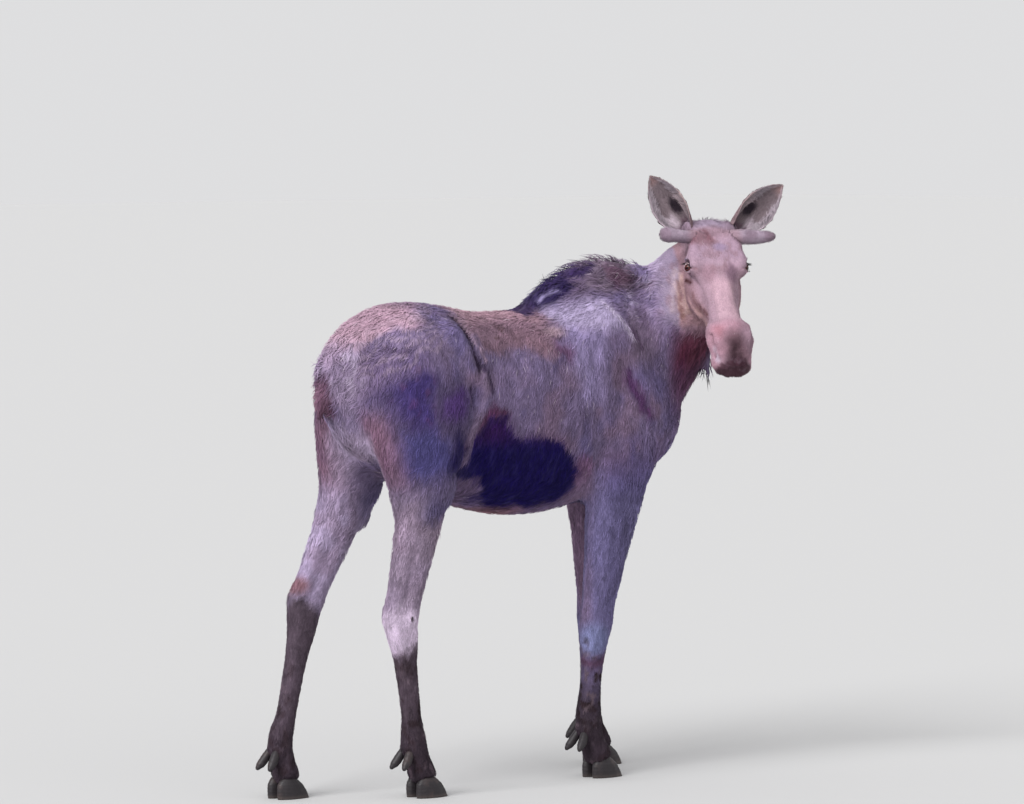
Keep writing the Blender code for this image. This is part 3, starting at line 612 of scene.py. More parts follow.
def paint_trunk(c, p, w):
    """Trunk, thighs and shoulders, in body coordinates."""
    plane = p[:, ::2]
    x, z, side = p[:, 0], p[:, 2], np.abs(p[:, 1])
    rough = layered(p, 0.06, 3)
    ragged = plane + 0.018 * rough[:, None] + 0.008 * layered(p, 0.02, 9)[:, None]
    crisp = plane + 0.005 * noise(p, 0.012, 8)[:, None]
    curl = band(x, -0.16, 0.02, 0.02) * band(z, 1.43, 1.48, 0.012) * step(0.2, 0.6, noise(p, 0.022, 14))
    haunch = step(0.06, 0.12, side) * fade(-0.24, -0.16, x)
    rear_line = [(-0.580, 1.190), (-0.558, 1.138), (-0.546, 1.077), (-0.517, 1.000)]
    croup = z - np.interp(x, (-0.66, -0.55, -0.45, -0.30, -0.18), (1.37, 1.435, 1.475, 1.515, 1.545)) + 0.022 * rough
    pale_curl = step(0.15, 0.5, np.sin(croup * 210 + 3 * rough)) * band(croup, -0.10, 0.04, 0.02)
    rear = fade(-0.62, -0.56, x)
    inner = fade(-0.52, -0.44, x)
    under = inside(ragged, DARK_BELLY, 0.040)
    far = step(0.08, 0.12, side)
    return overlaid(c, (
        (0.45 * step(0.0, 0.6, layered(p, 0.11, 4)), (128, 102, 112)),
        (0.40 * step(0.0, 0.6, layered(p, 0.09, 6)), (94, 88, 132)),
        (0.75 * inside(ragged, WARM_LOIN, 0.025), (130, 101, 106)),
        (0.7 * curl * step(0.05, 0.09, side), (74, 50, 50)),
        (0.5 * spot(ragged, (-0.020, 1.340), (0.130, 0.060), 0.5), (126, 114, 144)),
        (0.75 * step(1.470, 1.535, z) * band(x, -0.20, 0.20, 0.03), (176, 142, 146)),
        (0.55 * spot(ragged, (0.570, 1.430), (0.075, 0.100), 0.5), (128, 110, 122)),
        (0.85 * inside(ragged, BLUE_SHOULDER, 0.045), (146, 134, 166)),
        (0.90 * inside(ragged, PALE_SHOULDER, 0.035), (178, 166, 190)),
        (0.80 * near(crisp, RIDGE, 0.008) * step(0.05, 0.09, side), (208, 196, 212)),
        (0.80 * spot(crisp, (0.195, 1.460), (0.036, 0.016), 0.8), (168, 144, 148)),
        (0.80 * near(crisp, [(0.170, 1.441), (0.215, 1.440)], 0.006) * step(0.08, 0.12, side), (52, 36, 52)),
        (0.75 * inside(ragged, MAROON_RIB, 0.020), (96, 56, 84)),
        (0.60 * near(crisp, [(0.140, 1.345), (0.185, 1.378)], 0.010), (66, 58, 92)),
        (0.70 * near(crisp, [(0.530, 1.455), (0.555, 1.400)], 0.012) * step(0.08, 0.14, side), (84, 64, 88)),
        (0.85 * near(ragged, ARMPIT, 0.022) * step(0.12, 0.16, side), (84, 46, 88)),
        (0.55 * spot(ragged, (0.270, 1.000), (0.045, 0.070)), (122, 78, 104)),
        (0.75 * fade(0.92, 1.16, z) * step(0.30, 0.40, x), (62, 54, 104)),
        (0.5 * haunch * fade(-0.52, -0.46, x) * band(z, 1.14, 1.36, 0.05), (134, 114, 124)),
        (0.90 * haunch * inside(ragged, DIM_THIGH, 0.050), (88, 76, 106)),
        (0.60 * haunch * spot(ragged, (-0.520, 1.372), (0.110, 0.055), 0.5), (86, 72, 100)),
        (0.70 * haunch * spot(ragged, (-0.570, 1.345), (0.060, 0.055), 0.5), (84, 68, 100)),
        # painted shade: blue below the thigh's dark patch
        (0.75 * haunch * inside(ragged, BLUE_THIGH_SHADE, 0.045), (78, 76, 128)),
        (0.85 * haunch * inside(ragged, PURPLE_THIGH, 0.045), (65, 52, 108)),
        (0.50 * haunch * inside(plane, PURPLE_THIGH, 0.03) * step(0.1, 0.5, layered(p, 0.03, 12)), (92, 58, 96)),
        (0.80 * haunch * inside(ragged, PLUM_STIFLE, 0.025), (84, 56, 114)),
        # painted shade: navy at the front and foot of the thigh's dark patch
        (0.92 * haunch * inside(ragged, NAVY_THIGH_SHADE, 0.022), (28, 18, 70)),
        (0.6 * near(plane, rear_line, 0.035) * step(0.06, 0.10, side), (128, 90, 98)),
        (0.85 * step(-0.010, 0.030, croup) * fade(-0.42, -0.33, x), (186, 154, 162)),
        (0.60 * step(0.030, 0.050, croup) * fade(-0.27, -0.19, x), (168, 138, 148)),
        (0.4 * band(croup, -0.14, -0.02, 0.03) * fade(-0.34, -0.26, x), (138, 120, 144)),
        (0.3 * pale_curl * fade(-0.36, -0.24, x), (178, 158, 168)),
        (0.7 * near(crisp, [(-0.515, 1.425), (-0.490, 1.415), (-0.462, 1.416)], 0.006), (58, 40, 66)),
        (0.80 * rear * band(z, 1.27, 1.44, 0.04), (142, 126, 146)),
        (0.65 * rear * step(0.15, 0.55, noise(p * (1, 1, 0.5), 0.020, 22)) * band(z, 1.28, 1.42, 0.03),
         (184, 170, 186)),
        (0.9 * rear * step(0.45, 0.65, layered(p, 0.040, 21)) * band(z, 1.26, 1.38, 0.03), (50, 36, 62)),
        (0.75 * fade(0.030, 0.060, side) * fade(-0.50, -0.44, x) * band(z, 1.06, 1.19, 0.03), (172, 156, 174)),
        (0.85 * fade(0.020, 0.038, side) * fade(-0.645, -0.615, x) * band(z, 1.20, 1.34, 0.03), (78, 42, 64)),
        (0.5 * inner * band(side, 0.045, 0.080, 0.015) * band(z, 0.98, 1.32, 0.05), (156, 140, 158)),
        (0.8 * inner * band(side, 0.035, 0.110, 0.02) * band(z, 0.98, 1.14, 0.05), (192, 176, 196)),
        (0.6 * inner * band(side, 0.080, 0.130, 0.02) * band(z, 0.92, 1.12, 0.05), (140, 118, 132)),
        (0.6 * band(x, -0.56, -0.40, 0.02) * fade(0.030, 0.050, side) * fade(1.00, 1.05, z), (62, 24, 34)),
        (0.75 * under * (1 - w["neck"]), (80, 50, 86)),
        (0.75 * near(ragged, [(-0.160, 1.185), (-0.122, 1.222), (-0.080, 1.205)], 0.018), (92, 40, 66)),
        (0.60 * spot(ragged, (-0.190, 0.960), (0.080, 0.050), 0.5), (104, 84, 106)),
        (0.98 * inside(ragged, DARK_BELLY, 0.014) * (1 - w["neck"]), (18, 7, 74)),
        (0.6 * under * step(1.08, 1.16, z), (68, 32, 84)),
        (0.75 * fade(0.875, 0.915, z + 0.06 * x) * band(x, -0.34, 0.10, 0.05), (146, 106, 102)),
        # painted highlight: the lit strip of the flank's skin fold painted paler
        (0.65 * far * near(crisp, FLANK_SKIN, 0.014), (136, 118, 138)),
        # painted shade: the groove of the fold and the slits beside it painted near black
        (0.95 * far * near(crisp, FOLD, 0.0135), (30, 12, 34)),
        (0.85 * far * near(crisp, RIB_SLIT, 0.008), (48, 32, 58)),
        (0.80 * far * near(crisp, FLANK_SLIT, 0.010), (50, 34, 66)),
        (0.45 * far * near(crisp, FOLD_EDGE, 0.006), (184, 156, 162)),
    ))


def paint_legs(c, p, w):
    height = p[:, 2] + 0.028 * layered(p, 0.07, 31) + 0.016 * layered(p, 0.022, 32)
    mottled = step(0.1, 0.6, layered(p, 0.08, 35))
    ragged = 0.014 * layered(p, 0.010, 38)
    mud = step(0.15, 0.5, layered(p, 0.03, 33)) * fade(0.36, 0.50, p[:, 2])
    dry = step(0.35, 0.6, layered(p, 0.025, 37)) * fade(0.30, 0.50, p[:, 2])
    for name, j in LEGS.items():
        on = w[name] * fade(0.86, 1.06, p[:, 2])
        if "hind" in name:
            left = "left" in name
            hock = np.array(j["hock"])
            c = laid(c, on * (0.9 if left else 0.75), (166, 152, 172) if left else (152, 136, 146))
            c = laid(c, 0.5 * on * mottled, (128, 110, 124))
            shin = step(-0.46, -0.38, p[:, 0] + 0.15 * (1.0 - p[:, 2])) * step(0.84, 0.93, height)
            c = laid(c, 0.85 * on * shin, (80, 76, 118))
            if left:
                c = laid(c, 0.8 * on * spot(p, hock + (-0.045, 0, 0.075), (0.050, 0.080, 0.030), 0.5), (122, 78, 74))
                dark = height - (hock[2] + 0.020) + 0.6 * (p[:, 0] - hock[0])
            else:
                c = laid(c, 0.9 * on * band(height, hock[2] - 0.12, hock[2] + 0.04, 0.03), (206, 190, 202))
                c = laid(c, 0.9 * on * spot(p, hock + (0.012, -0.045, 0.012), (0.006, 0.02, 0.010)), (30, 20, 24))
                dark = height - (hock[2] - 0.100) - 0.9 * (p[:, 0] - hock[0])
            dark += ragged
            c = laid(c, 0.96 * on * fade(-0.040, 0.026, dark), (78, 66, 72))
        else:
            knee = j["knee"][2]
            c = laid(c, on * 0.85, (110, 104, 136))
            behind = step(0.020, 0.045, j["knee"][0] - p[:, 0])
            c = laid(c, 0.6 * on * behind * step(0.45, 0.6, p[:, 2]), (150, 118, 128))
            # painted highlight: a pale blue spot just below each fore knee
            c = laid(c, 0.85 * on * spot(p, np.array(j["knee"]) + (-0.02, -0.03, -0.045), (0.05, 0.05, 0.050), 0.5),
                     (138, 144, 180))
            c = laid(c, 0.75 * on * band(height, knee - 0.140, knee - 0.090, 0.030), (92, 54, 66))
            c = laid(c, 0.85 * on * fade(knee - 0.18, knee - 0.12, height), (96, 84, 104))
        c = laid(c, 0.9 * w["leg"] * fade(0.12, 0.34, height), (56, 46, 52))
        c = laid(c, 0.55 * w["leg"] * mud, (42, 28, 30))
        c = laid(c, 0.35 * w["leg"] * dry, (112, 96, 100))
    return c


def paint_neck(c, p, w):
    upper = np.maximum(w["neck"], w["trunk"] * step(0.50, 0.60, p[:, 0]))
    fine = noise(p * (1, 1, 0.16), 0.012, 47)
    streak = [(0.710, -0.100, 1.612), (0.680, -0.100, 1.568), (0.650, -0.110, 1.520)]
    right = step(0.03, 0.07, -p[:, 1])
    plane = p[:, ::2]
    c = overlaid(c, (
        (w["neck"], (154, 134, 150)),
        (0.5 * w["neck"] * step(1.50, 1.66, p[:, 2]), (146, 132, 150)),
        (0.6 * upper * step(0.15, 0.6, fine) * step(1.42, 1.55, p[:, 2]), (188, 176, 198)),
        (0.35 * upper * step(0.20, 0.7, -fine) * step(1.30, 1.46, p[:, 2]), (100, 86, 118)),
        (0.8 * spot(p, (0.745, -0.060, 1.700), (0.055, 0.090, 0.055), 0.6), (194, 178, 202)),
        (0.7 * spot(p, (0.660, -0.050, 1.640), (0.045, 0.080, 0.030), 0.6), (122, 110, 152)),
        (0.55 * near(p, streak, 0.010), (98, 84, 114)),
    ))
    for z in (1.606, 1.622):
        c = laid(c, 0.7 * right * near(plane, [(0.600, z - 0.004), (0.690, z + 0.004)], 0.004), (200, 190, 214))
    # Under the jaw the throat is painted dark maroon: partly the coat's own red, partly painted shade cast by the head
    throat_red_and_shade = spot(p, (0.785, -0.190, 1.345), (0.085, 0.110, 0.170), 0.45)
    return overlaid(c, (
        (0.5 * spot(p, (0.635, -0.132, 1.458), (0.050, 0.060, 0.070), 0.5), (150, 130, 154)),
        (0.9 * throat_red_and_shade, (88, 28, 46)),
        (0.6 * throat_red_and_shade * step(0.1, 0.5, noise(p * (1, 1, 0.2), 0.014, 49)), (46, 14, 36)),
        (0.5 * spot(p, (0.760, -0.120, 1.230), (0.10, 0.16, 0.10), 0.4), (98, 72, 98)),
    ))


def paint_mane(c, p):
    high = step(1.55, 1.61, p[:, 2]) * band(p[:, 0], 0.12, 0.64, 0.05) * fade(0.10, 0.16, np.abs(p[:, 1]))
    plane = p[:, ::2] + 0.007 * layered(p, 0.03, 5)[:, None]
    on = fade(0.08, 0.12, np.abs(p[:, 1]))
    curl = [(0.222, 1.552), (0.247, 1.572), (0.277, 1.582), (0.308, 1.588)]
    return overlaid(c, (
        (0.8 * high, (112, 96, 108)),
        (0.7 * high * fade(0.34, 0.42, p[:, 0]), (90, 72, 104)),
        (0.5 * high * step(0.0, 0.5, layered(p * (0.4, 1, 1), 0.014, 27)), (152, 136, 146)),
        (0.92 * on * inside(plane, DARK_MANE, 0.012), (34, 22, 66)),
        (0.90 * on * inside(plane, HIGH_DARK_MANE, 0.012), (44, 26, 74)),
        (0.70 * on * inside(plane, RED_MANE, 0.022), (92, 58, 76)),
        (0.80 * on * near(plane, [(0.630, 1.618), (0.615, 1.614)], 0.010), (44, 18, 44)),
        (0.75 * on * near(plane, curl, 0.004), (156, 146, 180)),
    ))


def paint_head(c, h, w):
    h = unturned(h)
    on = w["head"] * step(-0.05, 0.02, h[:, 0])
    q = mirrored(h)
    fuzz = 0.006 * layered(h, 0.025, 11)[:, None]
    r = q + fuzz
    x, z = h[:, 0], h[:, 2]
    face = on * fade(0.095, 0.110, q[:, 1] + fuzz[:, 0])
    wisp = noise(h * (0.12, 1, 1), 0.009, 13)
    beside = on * near(q, [(0.140, 0.106, -0.140), (0.205, 0.105, -0.182), (0.260, 0.090, -0.215)], 0.026)
    jaw = [(0.150, 0.100, -0.128), (0.169, 0.096, -0.141), (0.203, 0.090, -0.160), (0.243, 0.074, -0.199)]
    seen = 1 - 0.55 * step(-0.02, 0.02, h[:, 1])  # the marks of his right cheek are fainter on his left
    fringe = near(r, [(0.296, 0.069, -0.100), (0.335, 0.057, -0.092), (0.380, 0.050, -0.080)], 0.010)
    tear = [(0.176, 0.088, -0.120), (0.192, 0.085, -0.106), (0.212, 0.081, -0.092)]
    end = step(0.574, 0.592, x + 0.25 * (-z - 0.05) + 2 * fuzz[:, 0])
    c = overlaid(c, (
        (on, (150, 134, 158)),
        (face, (166, 137, 152)),
        (0.85 * face * fade(-0.13, -0.06, z), (160, 124, 132)),
        (0.8 * on * near(r, [(0.160, 0.106, -0.150), (0.205, 0.105, -0.182), (0.250, 0.092, -0.215)], 0.012),
         (150, 114, 108)),
        (0.45 * beside * step(0.1, 0.5, wisp), (206, 178, 174)),
        (0.50 * beside * step(0.1, 0.5, -wisp), (124, 88, 88)),
        (0.4 * on * near(r, [(0.117, 0.112, -0.133), (0.173, 0.119, -0.169), (0.230, 0.126, -0.204)], 0.012),
         (206, 182, 190)),
        (0.65 * on * near(r, jaw, 0.008), (208, 172, 164)),
        # paler along the ridge of the nose: partly its own colour, partly painted highlight
        (0.85 * on * fade(0.030, 0.050, q[:, 1]) * band(x, 0.265, 0.46, 0.03) * step(-0.05, -0.02, z), (196, 162, 176)),
        (0.5 * on * band(x, 0.10, 0.20, 0.03) * step(-0.04, 0.0, z), (166, 142, 164)),
        (0.5 * on * band(x, 0.19, 0.215, 0.012) * step(-0.04, 0.0, z), (182, 154, 172)),
        # painted shade: darker hollows either side of the nose's ridge, in front of the eyes
        (0.6 * on * spot(h, (0.240, -0.040, -0.010), (0.032, 0.026, 0.03), 0.5), (148, 114, 128)),
        (0.7 * on * spot(h, (0.242, 0.038, -0.014), (0.034, 0.026, 0.03), 0.5), (134, 104, 124)),
        (0.75 * on * spot(h + fuzz, (0.104, -0.058, 0.006), (0.026, 0.028, 0.03), 0.5), (124, 90, 98)),
        (0.65 * on * spot(h + fuzz, (0.118, -0.022, 0.004), (0.020, 0.024, 0.03), 0.5), (132, 100, 112)),
        (0.45 * on * band(x, 0.08, 0.24, 0.02) * step(0.0, 0.5, layered(h * (0.6, 1, 1), 0.020, 12)), (140, 108, 118)),
        (0.7 * on * near(q, [(0.236, 0.083, -0.139), (0.300, 0.067, -0.141), (0.335, 0.050, -0.150)], 0.010),
         (204, 164, 166)),
        (0.6 * spot(h, (0.272, -0.034, -0.244), (0.040, 0.030, 0.030), 0.5), (156, 122, 130)),
        (0.6 * on * near(r, [(0.300, 0.062, -0.128), (0.400, 0.056, -0.112)], 0.016), (186, 148, 144)),
        (0.75 * seen * on * near(r, [(0.262, 0.080, -0.100), (0.314, 0.064, -0.107), (0.362, 0.053, -0.084)], 0.013),
         (124, 86, 88)),
        (0.8 * seen * on * fringe * step(-0.3, 0.2, noise(h, 0.008, 16)), (92, 56, 62)),
        (0.95 * (1.3 * seen - 0.3) * on * near(q + 0.4 * fuzz, tear, 0.0085), (66, 24, 28)),
        (0.7 * on * spot(h, (0.139, 0.012, 0.001), (0.016, 0.024, 0.02), 0.6), (150, 132, 162)),
        (0.7 * on * near(h + fuzz, [(0.070, -0.030, 0.000), (0.105, -0.020, 0.006)], 0.014), (122, 76, 86)),
        # painted shade: reddish brown under the roots of the antlers
        (0.7 * seen * on * near(r, [(0.108, 0.072, 0.002), (0.128, 0.082, -0.030)], 0.013), (112, 72, 84)),
        (0.7 * on * fade(0.02, 0.06, x) * step(-0.10, -0.04, z), (182, 166, 192)),
        (0.75 * on * spot(q, (0.014, 0.070, -0.046), (0.040, 0.034, 0.040), 0.5), (132, 108, 122)),
        (0.8 * on * band(x, 0.455, 0.575, 0.02), (182, 140, 156)),
        (0.75 * on * spot(h + fuzz, (0.512, 0.050, -0.040), (0.055, 0.034, 0.05), 0.5), (136, 114, 128)),
        (0.5 * on * spot(h + fuzz, (0.494, -0.044, -0.020), (0.022, 0.018, 0.03), 0.8), (176, 114, 126)),
        (0.70 * on * near(h + fuzz, [(0.530, 0.008, -0.026), (0.590, 0.012, -0.068)], 0.040), (84, 58, 68)),
        (0.85 * on * near(h + fuzz, [(0.544, -0.005, -0.032), (0.592, -0.004, -0.068)], 0.030), (34, 12, 22)),
        (0.85 * on * near(h + fuzz, [(0.536, -0.060, -0.064), (0.560, -0.055, -0.084)], 0.011), (214, 194, 212)),
        (0.9 * on * end * fade(0.050, 0.062, q[:, 1]), (66, 38, 50)),
        (0.35 * on * end * step(0.1, 0.5, layered(h, 0.016, 19)), (118, 96, 110)),
        (0.8 * on * near(q, [(0.430, 0.056, -0.141), (0.520, 0.054, -0.143), (0.590, 0.030, -0.142)], 0.009),
         (60, 40, 50)),
        (0.8 * on * near(q, [(0.480, 0.071, -0.080), (0.510, 0.067, -0.090), (0.540, 0.058, -0.104)], 0.008),
         (216, 194, 208)),
        # painted shade: the nostrils near black inside their grooves
        (1.0 * on * near(q, NOSTRIL, 0.0060), (30, 16, 24)),
    ))
    for side in (1, -1):
        centre, fore, rise, _ = eye_axes(side)
        r = h - centre
        edge = lid_distance(r @ fore, r @ rise)
        close = on * (np.linalg.norm(r, axis=1) < 0.045)
        above = step(-0.001, 0.004, r @ rise)
        c = laid(c, 0.85 * close * band(edge, 0.0025, 0.0080, 0.0015) * (1 - above), (216, 186, 202))
        c = laid(c, 0.60 * close * band(edge, 0.0080, 0.0120, 0.0020), (156, 118, 130))
        c = laid(c, 0.90 * close * fade(0.0010, 0.0024, edge), (84, 44, 56))
        # painted shade: the upper lid near black along the opening, partly its dark rim
        c = laid(c, 0.96 * close * fade(0.0062, 0.0085, edge) * above, (26, 12, 22))
    return c


def paint(p, h, w):
    """The colour of the coat all over, with some shade and highlights painted in, the same for the skin and for the
    tufts rooted in it.
    """
    c = np.tile(tone(118, 104, 130), (len(p), 1))
    c = paint_trunk(c, p, w)
    c = paint_neck(c, p, w)
    c = paint_mane(c, p)
    c = paint_legs(c, p, w)
    c = laid(c, w["tail"], (148, 116, 126))
    # painted shade: his right side of the tail darker than its lit left side
    c = laid(c, 0.8 * w["tail"] * step(-0.012, 0.008, -p[:, 1]), (94, 62, 82))
    c = laid(c, w["bell"], (88, 80, 100))
    c = paint_head(c, h, w)
    streak = noise(p * (1, 1, 0.22), 0.014, 51) * (1 - w["head"])
    blotch = layered(p, 0.09, 55)
    c = c * (1 + (1 - w["head"])[:, None] * (0.03, 0.0, 0.13))
    return c * np.exp(0.14 * streak + 0.12 * blotch + 0.09 * layered(p, 0.02, 58))[:, None]


# ---------------------------------------------------------------- materials


def material(name, roughness, sheen=0.0, coat=0.0, specular=0.5):
    made = bpy.data.materials.new(name)
    made.use_nodes = True
    shader = made.node_tree.nodes["Principled BSDF"]
    for socket, value in (("Roughness", roughness), ("Sheen Weight", sheen), ("Sheen Roughness", 0.5),
                          ("Coat Weight", coat), ("Coat Roughness", 0.03), ("Specular IOR Level", specular)):
        shader.inputs[socket].default_value = value
    return made, made.node_tree, shader


def painted(name, roughness, grain, relief, contrast=0.25, **looks):
    """A material that takes the colour kept on the mesh, mottled by a fine noise that also raises the surface."""
    made, tree, shader = material(name, roughness, **looks)
    attribute = tree.nodes.new("ShaderNodeAttribute")
    attribute.attribute_name = "coat"
    place = tree.nodes.new("ShaderNodeTexCoord")
    speckle = tree.nodes.new("ShaderNodeTexNoise")
    speckle.inputs["Scale"].default_value = grain
    speckle.inputs["Detail"].default_value = 3
    ramp = tree.nodes.new("ShaderNodeMapRange")
    ramp.inputs["To Min"].default_value = 1 - contrast
    ramp.inputs["To Max"].default_value = 1 + contrast
    shade = tree.nodes.new("ShaderNodeVectorMath")
    shade.operation = "SCALE"
    bump = tree.nodes.new("ShaderNodeBump")
    bump.inputs["Distance"].default_value = relief
    bump.inputs["Strength"].default_value = 0.6
    link = tree.links.new
    link(place.outputs["Object"], speckle.inputs["Vector"])
    link(speckle.outputs["Fac"], ramp.inputs["Value"])
    link(attribute.outputs["Color"], shade.inputs[0])
    link(ramp.outputs["Result"], shade.inputs["Scale"])
    link(shade.outputs["Vector"], shader.inputs["Base Color"])
    link(speckle.outputs["Fac"], bump.inputs["Height"])
    link(bump.outputs["Normal"], shader.inputs["Normal"])
    return made


SKIN_LOOK = painted("coat_short", roughness=0.8, grain=260, relief=0.0020, sheen=0.05, specular=0.25)
TUFT_LOOK = painted("coat_tufts", roughness=0.80, grain=160, relief=0.0004, contrast=0.12, sheen=0.02, specular=0.15)
VELVET_LOOK = painted("velvet", roughness=0.85, grain=420, relief=0.0012, sheen=0.25, specular=0.2)
HORN_LOOK = painted("horn", roughness=0.5, grain=180, relief=0.0010, specular=0.4)
EYE_LOOK = painted("wet_eye", roughness=0.25, grain=300, relief=0.00002, contrast=0.10, coat=0.6, specular=0.05)
LASH_LOOK = painted("lashes", roughness=0.5, grain=300, relief=0.0001, contrast=0.1)


def dressed(obj, colours, look):
    """Keeps the colours on obj's mesh, gives it its material and files it as a piece of the moose."""
    kept = obj.data.color_attributes.new("coat", "FLOAT_COLOR", "POINT")
    kept.data.foreach_set("color", np.column_stack([colours, np.ones(len(colours))]).ravel())
    obj.data.materials.clear()
    obj.data.materials.append(look)
    obj.data.polygons.foreach_set("use_smooth", np.ones(len(obj.data.polygons), bool))
    obj.data.update()
    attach(obj, "root")
    return obj


# ---------------------------------------------------------------- coat


def lie_of(p, h, w):
    """The way the hair points, before it is laid into the skin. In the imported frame's directions."""
    x, z = p[:, 0], p[:, 2]
    side = np.sign(p[:, 1])
    way = np.zeros((len(p), 3))

    def add(weight, direction):
        way[:] += np.clip(weight, 0, 1)[:, None] * np.array(direction)

    top = step(1.40, 1.52, z)
    add(w["trunk"] * (1 - top), (-0.45, 0, -1.0))
    add(w["trunk"] * top, (-1.0, 0, -0.15))
    add(w["trunk"] * fade(0.90, 1.0, z), (-1.2, 0, 0.1))
    add(w["trunk"] * fade(-0.60, -0.50, x), (0.2, 0, -1.2))
    add(w["neck"], (-0.45, 0.10, -1.0))
    add(w["neck"] * step(1.62, 1.75, z), (-0.5, 0.40, -0.3))
    for name, joints in LEGS.items():
        upper, middle, low, _ = map(np.array, joints.values())
        add(w[name] * (z > middle[2]), unit(middle - upper) + (-0.15, 0, 0))
        add(w[name] * (z <= middle[2]), unit(low - middle) + (-0.15, 0, 0))
    add(w["tail"], (-0.2, 0, -1.0))
    add(w["bell"], (0, 0, -1.0))
    add(mane(p) * 1.5, (-1.0, 0, 0.1))
    way[:, 1] += 0.25 * side * w["trunk"] * top
    face = w["head"]
    back, out, down = HEAD_AXES.T * [[-1], [1], [-1]]
    q = np.abs(h[:, 1])
    head_way = back[None] + 0.35 * (np.sign(h[:, 1]) * step(0.02, 0.06, q))[:, None] * out
    head_way = head_way + (0.72 * fade(-0.14, -0.06, h[:, 2]))[:, None] * down
    poll = fade(0.05, 0.11, h[:, 0]) * step(-0.08, -0.02, h[:, 2])
    head_way = head_way * (1 - 1.6 * poll)[:, None]
    close, away = by_eye(h)
    head_way = head_way * (1 - close)[:, None] + 1.5 * away @ HEAD_AXES.T
    return way * (1 - face)[:, None] + face[:, None] * head_way


def by_eye(h):
    """How close each place is to an eye, 1 at the lids, and the way out from it, in the head's frame."""
    near_eye, away = np.zeros(len(h)), np.zeros((len(h), 3))
    for side in (1, -1):
        centre, fore, rise, _ = eye_axes(side)
        r = h - centre
        close = fade(0.024, 0.044, np.linalg.norm(r, axis=1))
        near_eye += close
        away += close[:, None] * unit((r @ fore)[:, None] * fore + (r @ rise)[:, None] * rise)
    return near_eye, away


def fields(p, h, w):
    """Length, width, rise as a share of the length, and untidiness of the tufts rooted at each place."""
    z, head = p[:, 2], w["head"]
    low = fade(0.45, 0.95, z)
    body = 0.031 + 0.010 * w["neck"]
    length = (1 - head) * (body * (1 - w["leg"]) + w["leg"] * (0.028 - 0.014 * low)) + head * 0.0115
    length *= 1 - 0.15 * w["leg"] * fade(0.06, 0.16, z)
    crown = head * fade(0.06, 0.13, h[:, 0]) * step(-0.10, -0.03, h[:, 2])
    length += 0.010 * crown
    length -= 0.0040 * head * step(0.42, 0.52, h[:, 0])
    length *= 1 - 0.45 * head * by_eye(h)[0]
    plane = p[:, ::2]
    creased = np.maximum(near(plane, FOLD, 0.018), near(plane, FLANK_SLIT, 0.014))
    creased *= step(0.08, 0.12, np.abs(p[:, 1]))
    length *= 1 - 0.45 * creased
    hump = mane(p)
    length += 0.026 * hump
    length += -0.008 * w["tail"] + 0.018 * w["bell"]
    ruffled = spot(p, (-0.62, 0.0, 1.36), (0.14, 0.22, 0.14), 0.5) * (1 - head)
    croup = step(1.44, 1.52, z) * fade(-0.30, -0.20, p[:, 0])
    length *= 1 - 0.25 * croup
    width = 0.0032 * (1 - head) + 0.0017 * head - 0.0012 * w["leg"] * low + 0.0004 * hump
    rise = 0.13 + 0.06 * ruffled + 0.05 * croup + 0.09 * hump + 0.04 * crown - 0.03 * w["tail"]
    wild = 0.22 + 0.40 * ruffled + 0.28 * croup + 0.06 * hump - 0.10 * w["leg"] * low - 0.08 * head - 0.15 * w["tail"]
    patchy = layered(p, 0.10, 71)
    length *= 1 + 0.22 * patchy * (1 - head)
    wild *= 1 + 0.5 * step(0.1, 0.6, patchy)
    return np.column_stack([length, width, rise, wild])


